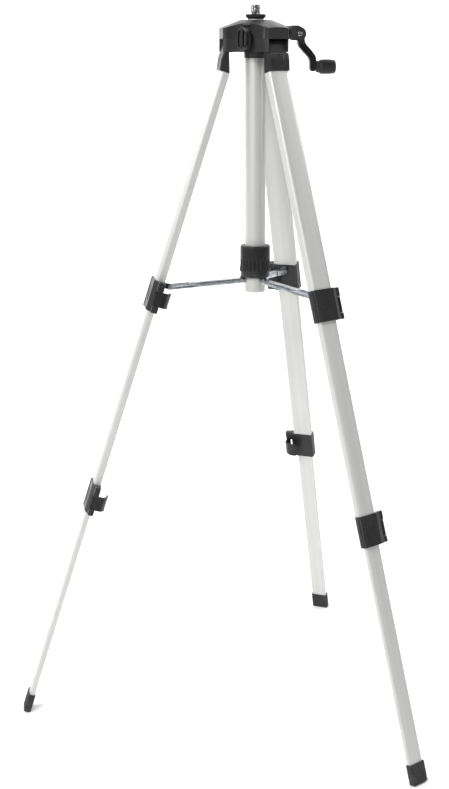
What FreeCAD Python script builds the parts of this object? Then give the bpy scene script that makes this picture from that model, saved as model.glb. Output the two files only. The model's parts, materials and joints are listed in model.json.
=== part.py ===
import FreeCAD, Part
import math
import os
import Sketcher

# Elevating aluminium tripod with a 5/8 inch instrument stud.
# Row frame: origin at the centre of the instrument seat, +Z up, crank shaft towards +X.
# Legs stand at azimuths 180 (leg a), 300 (leg b) and 60 degrees (leg c).

doc = FreeCAD.newDocument("LevelTripod")
sheet = doc.addObject("Spreadsheet::Sheet", "Dims")

# alias, millimetres or degrees, meaning
SIZES = [
    ("stud_dia", 15.875, "5/8 inch stud, major diameter"),
    ("stud_len", 13.4, "stud height above the seat"),
    ("seat_dia", 28.5, "instrument seat disc"),
    ("seat_thick", 6.7, "seat disc thickness"),
    ("canopy_top_z", -7.9, "flat top of the canopy"),
    ("canopy_top_r", 23.0, "radius of the canopy's flat top"),
    ("canopy_fall", 0.383, "fall of the sloping top per millimetre of radius"),
    ("seam_z", -33.9, "joint between canopy cover and leg spider"),
    ("skirt_z", -51.8, "bottom of the leg spider"),
    ("lobe_reach", 50.0, "radius of the flat face of each leg lobe"),
    ("lobe_half", 22.0, "half width of a leg lobe"),
    ("lobe_bevel", 4.0, "bevel at the corners of a lobe"),
    ("waist_curve", 71.0, "radius of the hollow wall between lobes"),
    ("shell", 3.0, "wall of the canopy mouldings"),
    ("slot_half", 18.0, "half width of a leg slot"),
    ("slot_inner", 24.0, "inner end of a leg slot"),
    ("pivot_r", 36.065, "leg hinge pin, distance from the column axis"),
    ("pivot_z", -45.9, "leg hinge pin height"),
    ("splay", 18.075, "leg angle from the vertical"),
    ("pin_r", 2.5, "leg hinge pin radius"),
    ("guide_r", 15.09, "outer radius of the fixed guide tube"),
    ("guide_wall", 1.4, "guide tube wall"),
    ("guide_top_z", -38.5, "top end of the guide tube"),
    ("guide_end_z", -397.3, "lower end of the guide tube"),
    ("column_r", 12.0, "outer radius of the rising column"),
    ("column_bore_r", 9.0, "inner radius of the rising column"),
    ("column_len", 325.0, "length of the rising column"),
    ("gear_module", 1.0, "rack and pinion module"),
    ("gear_teeth", 12.0, "pinion teeth"),
    ("rack_pitch_y", 11.7, "pitch line of the rack"),
    ("crank_z", -25.5, "crank shaft height"),
    ("shaft_r", 3.0, "crank shaft radius"),
    ("crank_x", 54.5, "inner face of the crank hub"),
    ("crank_radius", 47.0, "crank shaft to handle, centre distance"),
    ("knob_az", 240.0, "azimuth of the column lock"),
    ("knob_z", -34.0, "height of the column lock"),
    ("knob_r", 42.0, "inner face of the lock knob"),
    ("upper_w", 36.0, "upper leg tube width"),
    ("upper_d", 14.4, "upper leg tube depth"),
    ("mid_w", 31.4, "middle leg tube width"),
    ("mid_d", 11.2, "middle leg tube depth"),
    ("lower_w", 25.7, "lower leg tube width"),
    ("lower_d", 8.0, "lower leg tube depth"),
    ("tube_wall", 1.2, "leg tube wall"),
    ("lock1_top", 347.0, "hinge pin to the top of the upper lock casing"),
    ("lock1_end", 393.0, "hinge pin to the foot of the upper lock casing"),
    ("lock2_top", 672.2, "hinge pin to the top of the lower lock casing"),
    ("lock2_end", 717.5, "hinge pin to the foot of the lower lock casing"),
    ("foot_end", 1062.8, "hinge pin to the foot's end"),
    ("foot_len", 30.0, "rubber foot length"),
    ("lug_s", 353.1, "hinge pin to the brace lug, along the leg"),
    ("lug_o", 18.9, "brace lug, inward from the leg's centre line"),
    ("hub_pivot_r", 19.0, "brace hinge at the hub, distance from the axis"),
    ("hub_pivot_z", -380.4, "brace hinge at the hub, height"),
    ("brace_len", 108.879, "brace, hinge to hinge"),
    ("brace_w", 9.4, "brace channel width"),
    ("brace_gauge", 0.8, "brace sheet thickness"),
    ("nut_r", 22.5, "knurled nut radius"),
    ("nut_top_z", -327.9, "top of the knurled nut"),
    ("nut_end_z", -366.8, "foot of the knurled nut"),
    ("hub_end_z", -375.0, "underside of the brace hub's ring"),
    ("fit", 0.05, "running clearance on a radius"),
    ("gap", 0.4, "clearance between sliding pieces"),
]

for row, (alias, number, meaning) in enumerate(SIZES, start=1):
    sheet.set("A%d" % row, alias)
    sheet.set("B%d" % row, repr(number))
    sheet.set("C%d" % row, meaning)
    sheet.setAlias("B%d" % row, alias)
doc.recompute()


class Dim:
    """A size with its value and the spreadsheet expression that it comes from."""

    def __init__(self, value, text=None):
        self.value = float(value)
        self.text = text if text is not None else repr(float(value))

    def __add__(self, other):
        other = dim(other)
        return Dim(self.value + other.value, "(%s + %s)" % (self.text, other.text))

    def __sub__(self, other):
        other = dim(other)
        return Dim(self.value - other.value, "(%s - %s)" % (self.text, other.text))

    def __mul__(self, other):
        other = dim(other)
        return Dim(self.value * other.value, "(%s * %s)" % (self.text, other.text))

    def __truediv__(self, other):
        other = dim(other)
        return Dim(self.value / other.value, "(%s / %s)" % (self.text, other.text))

    def __neg__(self):
        return Dim(-self.value, "(0 - %s)" % self.text)

    def __radd__(self, other):
        return dim(other) + self

    def __rsub__(self, other):
        return dim(other) - self

    def __rmul__(self, other):
        return dim(other) * self


def dim(value):
    return value if isinstance(value, Dim) else Dim(value)


size = {alias: Dim(number, "Dims." + alias) for alias, number, meaning in SIZES}


def bind(obj, path, value):
    """Bind a property to the spreadsheet through its expression."""
    obj.setExpression(path, dim(value).text)


def place(obj, x=0, y=0, z=0):
    for name, value in (("x", x), ("y", y), ("z", z)):
        bind(obj, "Placement.Base." + name, value)
    return obj


AXIS_TURN = {
    "Z": FreeCAD.Rotation(),
    "X": FreeCAD.Rotation(FreeCAD.Vector(0, 1, 0), 90),
    "Y": FreeCAD.Rotation(FreeCAD.Vector(1, 0, 0), -90),
}


# ---------------------------------------------------------------- Part primitives
def box(x0, x1, y0, y1, z0, z1):
    obj = doc.addObject("Part::Box", "Block")
    bind(obj, "Length", dim(x1) - x0)
    bind(obj, "Width", dim(y1) - y0)
    bind(obj, "Height", dim(z1) - z0)
    return place(obj, x0, y0, z0)


def rod(axis, radius, start, end, at=(0, 0)):
    """Cylinder along an axis from start to end; at gives the other two coordinates in order."""
    obj = doc.addObject("Part::Cylinder", "Rod")
    obj.Placement = FreeCAD.Placement(FreeCAD.Vector(), AXIS_TURN[axis])
    bind(obj, "Radius", radius)
    bind(obj, "Height", dim(end) - start)
    first, second = at
    spot = {"X": (start, first, second), "Y": (first, start, second), "Z": (first, second, start)}
    return place(obj, *spot[axis])


def cone(r0, r1, z0, z1):
    obj = doc.addObject("Part::Cone", "Cone")
    bind(obj, "Radius1", r0)
    bind(obj, "Radius2", r1)
    bind(obj, "Height", dim(z1) - z0)
    return place(obj, 0, 0, z0)


def prism(sketch, z0, z1):
    obj = doc.addObject("Part::Extrusion", "Prism")
    obj.Base = sketch
    obj.DirMode = "Custom"
    obj.Dir = FreeCAD.Vector(0, 0, 1)
    obj.Solid = True
    bind(obj, "LengthFwd", dim(z1) - z0)
    return place(obj, 0, 0, z0)


def fuse(*pieces):
    if len(pieces) == 1:
        return pieces[0]
    obj = doc.addObject("Part::MultiFuse", "Joined")
    obj.Shapes = list(pieces)
    return obj


def common(*pieces):
    obj = doc.addObject("Part::MultiCommon", "Shared")
    obj.Shapes = list(pieces)
    return obj


def cut(base, *tools):
    obj = doc.addObject("Part::Cut", "Trimmed")
    obj.Base = base
    obj.Tool = fuse(*tools)
    return obj


def radial_rod(azimuth, radius, start, end, z):
    """Cylinder that runs outward from the column axis."""
    turn = FreeCAD.Rotation(FreeCAD.Vector(0, 0, 1), azimuth)
    obj = doc.addObject("Part::Cylinder", "Rod")
    obj.Placement = FreeCAD.Placement(FreeCAD.Vector(), turn * AXIS_TURN["X"])
    bind(obj, "Radius", radius)
    bind(obj, "Height", dim(end) - start)
    angle = math.radians(azimuth)
    return place(obj, dim(start) * math.cos(angle), dim(start) * math.sin(angle), z)


def cross_rod(azimuth, radius, half, reach, z):
    """Cylinder across a leg's radial plane, centred on it at a given radius."""
    turn = FreeCAD.Rotation(FreeCAD.Vector(0, 0, 1), azimuth)
    obj = doc.addObject("Part::Cylinder", "Rod")
    obj.Placement = FreeCAD.Placement(FreeCAD.Vector(), turn * AXIS_TURN["Y"])
    bind(obj, "Radius", radius)
    bind(obj, "Height", dim(half) * 2)
    c, s = math.cos(math.radians(azimuth)), math.sin(math.radians(azimuth))
    return place(obj, dim(reach) * c + dim(half) * s, dim(reach) * s - dim(half) * c, z)


def radial_box(azimuth, r0, r1, half, z0, z1):
    """Block in a leg's radial plane, from radius r0 to r1."""
    obj = box(0, dim(r1) - r0, 0, dim(half) * 2, 0, dim(z1) - z0)
    obj.Placement = FreeCAD.Placement(FreeCAD.Vector(), FreeCAD.Rotation(FreeCAD.Vector(0, 0, 1), azimuth))
    c, s = math.cos(math.radians(azimuth)), math.sin(math.radians(azimuth))
    return place(obj, dim(r0) * c + dim(half) * s, dim(r0) * s - dim(half) * c, z0)


# ---------------------------------------------------------------- sketches and bodies
def add_line(sketch, p, q):
    index = sketch.addGeometry(Part.LineSegment(p, q), False)
    return index, 1, 2


def add_arc(sketch, p, q, radius, side):
    """Arc from p to q; side +1 puts its centre to the left of the way from p to q."""
    chord = q - p
    half = chord.Length / 2
    reach = math.sqrt(max(radius * radius - half * half, 0.0))
    left = FreeCAD.Vector(-chord.y, chord.x, 0).normalize()
    centre = (p + q) * 0.5 + left * (reach * side)
    first, last = (p, q) if side > 0 else (q, p)
    a0 = math.atan2(first.y - centre.y, first.x - centre.x)
    a1 = math.atan2(last.y - centre.y, last.x - centre.x)
    circle = Part.Circle(centre, FreeCAD.Vector(0, 0, 1), radius)
    index = sketch.addGeometry(Part.ArcOfCircle(circle, a0, a1), False)
    return (index, 1, 2) if side > 0 else (index, 2, 1)


def outline(sketch, points, arcs=None):
    """Closed loop through points; arcs maps a point's index to (radius, side) of the edge that leaves it."""
    arcs = arcs or {}
    spots = [FreeCAD.Vector(dim(x).value, dim(y).value, 0) for x, y in points]
    edges = []
    for number, spot in enumerate(spots):
        following = spots[(number + 1) % len(spots)]
        if number in arcs:
            radius, side = arcs[number]
            edges.append(add_arc(sketch, spot, following, dim(radius).value, side))
        else:
            edges.append(add_line(sketch, spot, following))
    for number, (index, start, end) in enumerate(edges):
        after = edges[(number + 1) % len(edges)]
        sketch.addConstraint(Sketcher.Constraint("Coincident", index, end, after[0], after[1]))
    for number, (index, start, end) in enumerate(edges):
        for kind, value in zip(("DistanceX", "DistanceY"), points[number]):
            value = dim(value)
            held = sketch.addConstraint(Sketcher.Constraint(kind, -1, 1, index, start, value.value))
            sketch.setExpression("Constraints[%d]" % held, value.text)
        if number in arcs:
            radius = dim(arcs[number][0])
            held = sketch.addConstraint(Sketcher.Constraint("Radius", index, radius.value))
            sketch.setExpression("Constraints[%d]" % held, radius.text)


def ring(sketch, radius, x=0, y=0):
    spot = FreeCAD.Vector(dim(x).value, dim(y).value, 0)
    circle = Part.Circle(spot, FreeCAD.Vector(0, 0, 1), dim(radius).value)
    index = sketch.addGeometry(circle, False)
    limits = [("Radius", (index,), radius), ("DistanceX", (-1, 1, index, 3), x),
              ("DistanceY", (-1, 1, index, 3), y)]
    for kind, where, value in limits:
        value = dim(value)
        held = sketch.addConstraint(Sketcher.Constraint(kind, *where, value.value))
        sketch.setExpression("Constraints[%d]" % held, value.text)


def origin_part(body, role):
    return next(item for item in body.Origin.OriginFeatures if item.Role == role)


def rectangle(x0, x1, y0, y1):
    return [(x0, y0), (x1, y0), (x1, y1), (x0, y1)]


def rounded_rectangle(sketch, half_x, half_y, outer_r, inner_r):
    """Centred rectangle: corners on the +X side take outer_r, those on the -X side inner_r."""
    x1, x0, y1, y0 = dim(half_x), -dim(half_x), dim(half_y), -dim(half_y)
    outline(sketch, [
        (x0 + inner_r, y0), (x1 - outer_r, y0), (x1, y0 + outer_r), (x1, y1 - outer_r),
        (x1 - outer_r, y1), (x0 + inner_r, y1), (x0, y1 - inner_r), (x0, y0 + inner_r)],
        {1: (outer_r, 1), 3: (outer_r, 1), 5: (inner_r, 1), 7: (inner_r, 1)})


def sketch_on(body, role, offset=None):
    sketch = body.newObject("Sketcher::SketchObject", "Sketch")
    sketch.AttachmentSupport = [(origin_part(body, role), "")]
    sketch.MapMode = "FlatFace"
    if offset is not None:
        bind(sketch, "AttachmentOffset.Base.z", offset)
    return sketch


def pad(body, sketch, length, reverse=False, middle=False):
    feature = body.newObject("PartDesign::Pad", "Pad")
    feature.Profile = sketch
    bind(feature, "Length", length)
    feature.Reversed = reverse
    feature.Midplane = middle
    return feature


def pocket(body, sketch, length, reverse=False, middle=False):
    feature = body.newObject("PartDesign::Pocket", "Pocket")
    feature.Profile = sketch
    bind(feature, "Length", length)
    feature.Reversed = reverse
    feature.Midplane = middle
    doc.recompute()
    before = feature.BaseFeature.Shape.Volume
    if feature.Shape.Volume > before - 1e-6:
        raise RuntimeError("a pocket in %s cuts nothing" % body.Label)
    return feature


def revolve(body, sketch, groove=False):
    kind = "PartDesign::Groove" if groove else "PartDesign::Revolution"
    feature = body.newObject(kind, "Turned")
    feature.Profile = sketch
    feature.ReferenceAxis = (sketch, ["V_Axis"])
    feature.Angle = 360
    return feature


def around(body, feature, count, role="Z_Axis"):
    pattern = body.newObject("PartDesign::PolarPattern", "Around")
    pattern.Originals = [feature]
    pattern.Axis = (origin_part(body, role), [""])
    pattern.Angle = 360
    pattern.Occurrences = count
    body.Tip = pattern
    return pattern


def round_edges(body, feature, radius, chosen):
    """Fillet the edges of a feature that the chosen test accepts."""
    doc.recompute()
    names = ["Edge%d" % (n + 1) for n, edge in enumerate(feature.Shape.Edges) if chosen(edge)]
    fillet = body.newObject("PartDesign::Fillet", "Rounded")
    fillet.Base = (feature, names)
    bind(fillet, "Radius", radius)
    return fillet


def new_body(label):
    return doc.addObject("PartDesign::Body", label)


def free_sketch():
    return doc.addObject("Sketcher::SketchObject", "Profile")


PARTS = []


def keep(obj, label, placement=None):
    """Name a finished sub-part and set where it stands."""
    obj.Label = label
    if placement is not None:
        obj.Placement = placement
    PARTS.append(obj)
    return obj


def rotation(axis, angle):
    return FreeCAD.Rotation(FreeCAD.Vector(*axis), angle)


# ---------------------------------------------------------------- head mouldings
LEGS = [("a", 180.0), ("b", 300.0), ("c", 60.0)]
SCREW_AZIMUTHS = [10.0, 130.0, 250.0]
SCREW_CIRCLE = 30.0
SCREW_R = 1.5
BOSS_R = 4.5
LOCK_SCREW_R = 3.0
LOCK_BOSS_R = 8.0
KNOB_AZ = size["knob_az"].value
PIN_HALF = 21.4
RACK_HALF = 3.0
RACK_TIP_Y = size["rack_pitch_y"] + size["gear_module"]
PINION_PITCH_R = size["gear_module"] * size["gear_teeth"] / 2
SHAFT_Y = size["rack_pitch_y"] + PINION_PITCH_R


def lobe_outline(inset):
    """Plan of the head: a flat face, two bevels and a hollow wall for each leg."""
    sketch = free_sketch()
    reach = size["lobe_reach"] - inset
    half = size["lobe_half"] - inset
    bevel = size["lobe_bevel"]
    corners = [(reach - bevel, -half), (reach, bevel - half),
               (reach, half - bevel), (reach - bevel, half)]
    points = []
    arcs = {}
    for azimuth in (60, 180, 300):
        c, s = math.cos(math.radians(azimuth)), math.sin(math.radians(azimuth))
        points += [(r * c - t * s, r * s + t * c) for r, t in corners]
        arcs[len(points) - 1] = (size["waist_curve"] + inset, -1)
    outline(sketch, points, arcs)
    return sketch


def sloping_top(drop):
    """Cone that the top of the canopy follows, lowered by drop."""
    top, low = size["canopy_top_z"] - drop, size["seam_z"]
    spread = (top - low) / size["canopy_fall"]
    return cone(size["canopy_top_r"] + spread, size["canopy_top_r"], low, top)


def screw_posts(radius, z0, z1):
    return [radial_post(azimuth, radius, z0, z1) for azimuth in SCREW_AZIMUTHS]


def radial_post(azimuth, radius, z0, z1):
    c, s = math.cos(math.radians(azimuth)), math.sin(math.radians(azimuth))
    return rod("Z", radius, z0, z1, at=(SCREW_CIRCLE * c, SCREW_CIRCLE * s))


def column_passage(z0, z1):
    """Bore for the rising column with a notch for its rack."""
    bore = rod("Z", size["column_r"] + 0.1, z0, z1)
    notch = box(-RACK_HALF - 0.5, RACK_HALF + 0.5, 0, RACK_TIP_Y + 0.5, z0, z1)
    return fuse(bore, notch)


def canopy_cover():
    low, top = size["seam_z"], size["canopy_top_z"]
    skin = common(prism(lobe_outline(0), low, top), sloping_top(0))
    inside = prism(lobe_outline(size["shell"]), low - 1, top - size["shell"])
    hollow = common(inside, sloping_top(size["shell"]))
    shell = cut(skin, hollow)
    tower = rod("Z", 17, low, top)
    crank_tube = rod("X", 10, 26, size["crank_x"] - 1, at=(SHAFT_Y, size["crank_z"]))
    crank_boss = common(crank_tube, box(0, 70, 0, 40, low, 0))
    web = box(-14, -9, 8, 26, low, -17)
    lock_boss = radial_rod(KNOB_AZ, LOCK_BOSS_R, 15, size["knob_r"] - 1, size["knob_z"])
    lock_half = common(lock_boss, box(-60, 60, -60, 60, low, 0))
    body = fuse(shell, tower, crank_boss, web, lock_half, *screw_posts(BOSS_R, low, -20))
    return cut(
        body,
        column_passage(low - 5, 0),
        box(-5.5, 5.5, 8, 27, low - 1, -17),
        rod("X", size["shaft_r"] + size["fit"], -20, size["crank_x"], at=(SHAFT_Y, size["crank_z"])),
        radial_rod(KNOB_AZ, LOCK_SCREW_R + 0.1, 5, 60, size["knob_z"]),
        *screw_posts(SCREW_R, low - 1, -23),
    )


def hinge_pins():
    place_at = (size["pin_r"], PIN_HALF, size["pivot_r"], size["pivot_z"])
    return [cross_rod(az, *place_at) for _, az in LEGS]


def leg_spider():
    low, top = size["skirt_z"], size["seam_z"]
    block = prism(lobe_outline(0), low, top)
    slot = (size["slot_inner"], 70, size["slot_half"], low - 1, top + 1)
    slots = [radial_box(az, *slot) for _, az in LEGS]
    ribs = [radial_box(az, 0, 70, size["lobe_half"] - 0.2, low - 2, top + 2) for _, az in LEGS]
    inside = prism(lobe_outline(size["shell"]), low - 1, top - 2.4)
    pockets = cut(inside, rod("Z", size["slot_inner"], low - 2, top), *ribs)
    lock_boss = radial_rod(KNOB_AZ, LOCK_BOSS_R, 17, size["knob_r"] - 1, size["knob_z"])
    lock_half = common(lock_boss, box(-60, 60, -60, 60, low, top))
    body = fuse(cut(block, pockets, *slots), lock_half, *screw_posts(BOSS_R, low + 6, top))
    return cut(
        body,
        rod("Z", size["guide_r"], low - 1, top + 1),
        radial_rod(KNOB_AZ, LOCK_SCREW_R + 0.1, 5, 60, size["knob_z"]),
        *hinge_pins(),
        *screw_posts(SCREW_R + 0.2, low, top + 1),
        *screw_posts(3.1, low - 1, low + 6),
    )


def compound(pieces):
    obj = doc.addObject("Part::Compound", "Group")
    obj.Links = pieces
    return obj


def canopy_screws():
    low = size["skirt_z"] + 3
    screws = []
    for azimuth in SCREW_AZIMUTHS:
        head = radial_post(azimuth, 2.8, low, low + 3)
        shank = radial_post(azimuth, SCREW_R - 0.02, low + 2, -24)
        screws.append(fuse(head, shank))
    return compound(screws)


keep(canopy_cover(), "canopy_cover")
keep(leg_spider(), "leg_spider")
keep(compound(hinge_pins()), "leg_hinge_pins")
keep(canopy_screws(), "canopy_screws")


# ---------------------------------------------------------------- guide tube and column
KEY_DEPTH = 0.6
KEY_HALF = 0.8
STUD_SHANK_R = 4.0
STUD_SHANK_Z = -22.0
SEAT_WELL = 0.5
SEAT_WELL_MARGIN = 1.1
PLUG_RIM = 2.5
RACK_FLOOR = 10.0
ROOT_DEPTH = 1.25
TOOTH_HALF = 0.65
FLANK = math.tan(math.radians(20))
RACK_TEETH = 76


def guide_tube():
    """Fixed tube with a shallow keyway down its outside."""
    body = new_body("guide_tube")
    section = sketch_on(body, "XY_Plane", size["guide_end_z"])
    ring(section, size["guide_r"])
    ring(section, size["guide_r"] - size["guide_wall"])
    pad(body, section, size["guide_top_z"] - size["guide_end_z"])
    key = sketch_on(body, "XY_Plane", size["guide_end_z"])
    outline(key, rectangle(size["guide_r"] - KEY_DEPTH, size["guide_r"] + 1, -KEY_HALF, KEY_HALF))
    pocket(body, key, size["guide_top_z"] - size["guide_end_z"], reverse=True)
    return body


def revolved(label, profile, arcs=None):
    body = new_body(label)
    section = sketch_on(body, "XZ_Plane")
    outline(section, profile, arcs)
    revolve(body, section)
    return body


def tripod_stud():
    """Major diameter of the stud, standing in the seat's shallow well on a thinner shank."""
    r, top, bevel = size["stud_dia"] / 2, size["stud_len"], 1.0
    return revolved("tripod_stud", [
        (0, STUD_SHANK_Z), (STUD_SHANK_R, STUD_SHANK_Z), (STUD_SHANK_R, -SEAT_WELL), (r, -SEAT_WELL),
        (r, top - bevel), (r - bevel, top), (0, top)])


def seat_disc():
    """Knurled disc; a well round the stud leaves room for the wall of a socket."""
    r, low = size["seat_dia"] / 2, -size["seat_thick"]
    well_r = size["stud_dia"] / 2 + SEAT_WELL_MARGIN
    body = revolved("seat_disc", [
        (STUD_SHANK_R, low), (r - 3.2, low), (r, low + 3.2), (r, -0.5), (r - 0.5, 0),
        (well_r, 0), (well_r, -SEAT_WELL), (STUD_SHANK_R, -SEAT_WELL)])
    notch = sketch_on(body, "XY_Plane")
    outline(notch, [(r - 0.45, 0), (r + 1, -0.9), (r + 1, 0.9)])
    around(body, pocket(body, notch, 3.4), 36)
    return body


def center_column():
    body = new_body("center_column")
    top = -size["seat_thick"] - PLUG_RIM
    low = top - size["column_len"]
    section = sketch_on(body, "XY_Plane", low)
    ring(section, size["column_r"])
    ring(section, size["column_bore_r"])
    pad(body, section, top - low)
    seat = sketch_on(body, "XY_Plane", low)
    half = RACK_HALF + size["fit"]
    outline(seat, rectangle(-half, half, RACK_FLOOR, size["column_r"] + 2))
    pocket(body, seat, top - low, reverse=True)
    return body


def column_plug():
    r, top = size["column_bore_r"], -size["seat_thick"]
    rim = size["column_r"] - 0.6
    return revolved("column_plug", [
        (STUD_SHANK_R, top - 22), (r, top - 22), (r, top - PLUG_RIM), (rim, top - PLUG_RIM),
        (rim, top), (STUD_SHANK_R, top)])


def column_rack():
    """Toothed strip on the back of the column; a tooth stands level with the crank shaft."""
    body = new_body("column_rack")
    pitch = size["gear_module"] * math.pi
    top_tooth = size["crank_z"] + pitch * 2
    low = top_tooth - pitch * (RACK_TEETH - 1) - 2
    root_y = size["rack_pitch_y"] - size["gear_module"] * ROOT_DEPTH
    strip = sketch_on(body, "XY_Plane", low)
    outline(strip, rectangle(-RACK_HALF, RACK_HALF, RACK_FLOOR, root_y))
    pad(body, strip, top_tooth + 2 - low)
    tooth = sketch_on(body, "YZ_Plane")
    at_root = TOOTH_HALF + ROOT_DEPTH * FLANK
    at_tip = TOOTH_HALF - FLANK
    outline(tooth, [
        (root_y - 0.1, top_tooth - at_root), (root_y, top_tooth - at_root),
        (RACK_TIP_Y, top_tooth - at_tip), (RACK_TIP_Y, top_tooth + at_tip),
        (root_y, top_tooth + at_root), (root_y - 0.1, top_tooth + at_root)])
    first = pad(body, tooth, RACK_HALF * 2, middle=True)
    teeth = body.newObject("PartDesign::LinearPattern", "Teeth")
    teeth.Originals = [first]
    teeth.Direction = (origin_part(body, "Z_Axis"), [""])
    teeth.Reversed = True
    teeth.Occurrences = RACK_TEETH
    bind(teeth, "Length", pitch * (RACK_TEETH - 1))
    body.Tip = teeth
    return body


def column_foot_bush():
    low = -size["seat_thick"] - PLUG_RIM - size["column_len"] - 6
    inner = size["column_r"] + 0.05
    outer = size["guide_r"] - size["guide_wall"] - 0.3
    return revolved("column_foot_bush", [
        (size["column_bore_r"], low), (outer, low), (outer, low + 20), (inner, low + 20),
        (inner, low + 6), (size["column_bore_r"], low + 6)])


def column_collar():
    low, top = size["skirt_z"] - 8.3, size["skirt_z"]
    r = size["guide_r"]
    return revolved("column_collar", [
        (r, low), (r + 1.3, low), (r + 1.6, low + 0.5), (r + 1.6, top), (r, top)])


keep(guide_tube(), "guide_tube", FreeCAD.Placement(FreeCAD.Vector(), rotation((0, 0, 1), 294)))
keep(column_collar(), "column_collar")
keep(center_column(), "center_column")
keep(column_plug(), "column_plug")
keep(tripod_stud(), "tripod_stud")
keep(seat_disc(), "seat_disc")
keep(column_rack(), "column_rack")
keep(column_foot_bush(), "column_foot_bush")


# ---------------------------------------------------------------- crank drive
def pinion_gear():
    """Pinion about the body's Z axis; a gap faces its own -Y side once turned onto the shaft."""
    body = new_body("pinion_gear")
    root_r = PINION_PITCH_R - size["gear_module"] * 1.3
    tip_r = PINION_PITCH_R + size["gear_module"] * 0.9
    half = RACK_HALF - 0.1
    core = sketch_on(body, "XY_Plane", -half)
    ring(core, root_r)
    ring(core, size["shaft_r"])
    pad(body, core, half * 2)
    tooth = sketch_on(body, "XY_Plane", -half)
    outline(tooth, [(root_r - 0.3, -0.85), (PINION_PITCH_R, -TOOTH_HALF), (tip_r, -0.3),
                    (tip_r, 0.3), (PINION_PITCH_R, TOOTH_HALF), (root_r - 0.3, 0.85)])
    around(body, pad(body, tooth, half * 2), 12)
    return body


HUB_HALF = 8.5
CLEVIS_HALF = 4.4
ARM_PIVOT = (66.2, -26.5)
EAR_R = 9.6
HANDLE_X = (92.5, 121.0)
HANDLE_Z = size["crank_z"] - size["crank_radius"]


def crank_hub():
    body = new_body("crank_hub")
    px, pz = ARM_PIVOT
    face = sketch_on(body, "XZ_Plane")
    low, high = size["crank_z"] - 10, size["crank_z"] + 10.6
    reach, rise = EAR_R * math.cos(math.radians(70)), EAR_R * math.sin(math.radians(70))
    outline(face, [
        (size["crank_x"], low), (px - 2, pz - EAR_R + 0.3), (px + reach, pz - rise), (px + reach, pz + rise),
        (px - 2, high), (size["crank_x"], high)], {2: (EAR_R, 1)})
    pad(body, face, HUB_HALF * 2, middle=True)
    slot = sketch_on(body, "XZ_Plane")
    outline(slot, [(px - 8.6, -60), (px + 20, -60), (px + 20, 10), (px - 8.6, 10)])
    pocket(body, slot, CLEVIS_HALF * 2, middle=True)
    screw = sketch_on(body, "XZ_Plane")
    ring(screw, 2, px, pz)
    pocket(body, screw, 40, middle=True)
    shaft = sketch_on(body, "YZ_Plane", size["crank_x"] - 1)
    ring(shaft, size["shaft_r"], 0, size["crank_z"])
    pocket(body, shaft, 3.6, reverse=True)
    return body


def crank_arm():
    """S-shaped arm: a tongue in the hub's clevis, a ribbed web and a boss for the handle pin."""
    body = new_body("crank_arm")
    px, pz = ARM_PIVOT
    r = 8.3
    foot_z = HANDLE_Z - 6.5
    tongue = sketch_on(body, "XZ_Plane")
    ring(tongue, r, px, pz)
    pad(body, tongue, 8, middle=True)
    neck = sketch_on(body, "XZ_Plane")
    outline(neck, [(px - 2.2, pz), (px - 2.2, pz - 16), (px + 8.3, pz - 12), (px + 7.8, pz)])
    pad(body, neck, 8, middle=True)
    limb = sketch_on(body, "XZ_Plane")
    outline(limb, [
        (px - 1.4, pz - 10.6), (px - 1.0, pz - 15.6), (px + 1.4, pz - 19.6), (px + 10.2, pz - 29.0),
        (px + 15.6, pz - 35.0), (px + 16.6, pz - 40.5), (px + 16.6, foot_z + 3), (px + 19.6, foot_z),
        (px + 25.8, foot_z), (px + 25.8, pz - 36.0), (px + 24.4, pz - 30.6), (px + 20.0, pz - 24.6),
        (px + 9.6, pz - 13.4), (px + 8.9, pz - 10.6)])
    pad(body, limb, 11, middle=True)
    for reverse in (False, True):
        web = sketch_on(body, "XZ_Plane", 5.5 if not reverse else -5.5)
        outline(web, [
            (px + 1.4, pz - 13), (px + 3.4, pz - 17.6), (px + 12.6, pz - 27.6), (px + 18.4, pz - 34.4),
            (px + 19.4, pz - 39.4), (px + 23.0, pz - 39.4), (px + 23.0, pz - 35.6), (px + 21.6, pz - 31.6),
            (px + 17.4, pz - 26.0), (px + 6.6, pz - 13.6)])
        pocket(body, web, 2.6, reverse=reverse)
    bore = sketch_on(body, "XZ_Plane")
    ring(bore, 2 + size["fit"], px, pz)
    pocket(body, bore, 40, middle=True)
    seat = sketch_on(body, "YZ_Plane", px + 30)
    ring(seat, 3, 0, HANDLE_Z)
    pocket(body, seat, 11)
    return body


def handle_pin():
    start = ARM_PIVOT[0] + 19.0
    shank = rod("Z", 3, start, HANDLE_X[1] - 3.4)
    head = rod("Z", 5, HANDLE_X[1] - 5.4, HANDLE_X[1] - 3.4)
    return fuse(shank, head)


def crank_handle():
    x0, x1 = HANDLE_X
    bore = 3 + size["fit"]
    return revolved("crank_handle", [
        (bore, x0), (8.6, x0), (9.6, x0 + 1.4), (10.2, x0 + 8), (10.5, x0 + 15), (10.2, x1 - 4),
        (9.0, x1 - 1), (7.6, x1), (5.4, x1), (5.4, x1 - 5.8), (bore, x1 - 5.8)])


ALONG_X = rotation((0, 1, 0), 90)
crank_line = FreeCAD.Vector(0, SHAFT_Y.value, size["crank_z"].value)
handle_line = FreeCAD.Vector(0, SHAFT_Y.value, HANDLE_Z.value)
crank_plane = FreeCAD.Placement(FreeCAD.Vector(0, SHAFT_Y.value, 0), FreeCAD.Rotation())
HALF_TOOTH = 15.0

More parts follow.
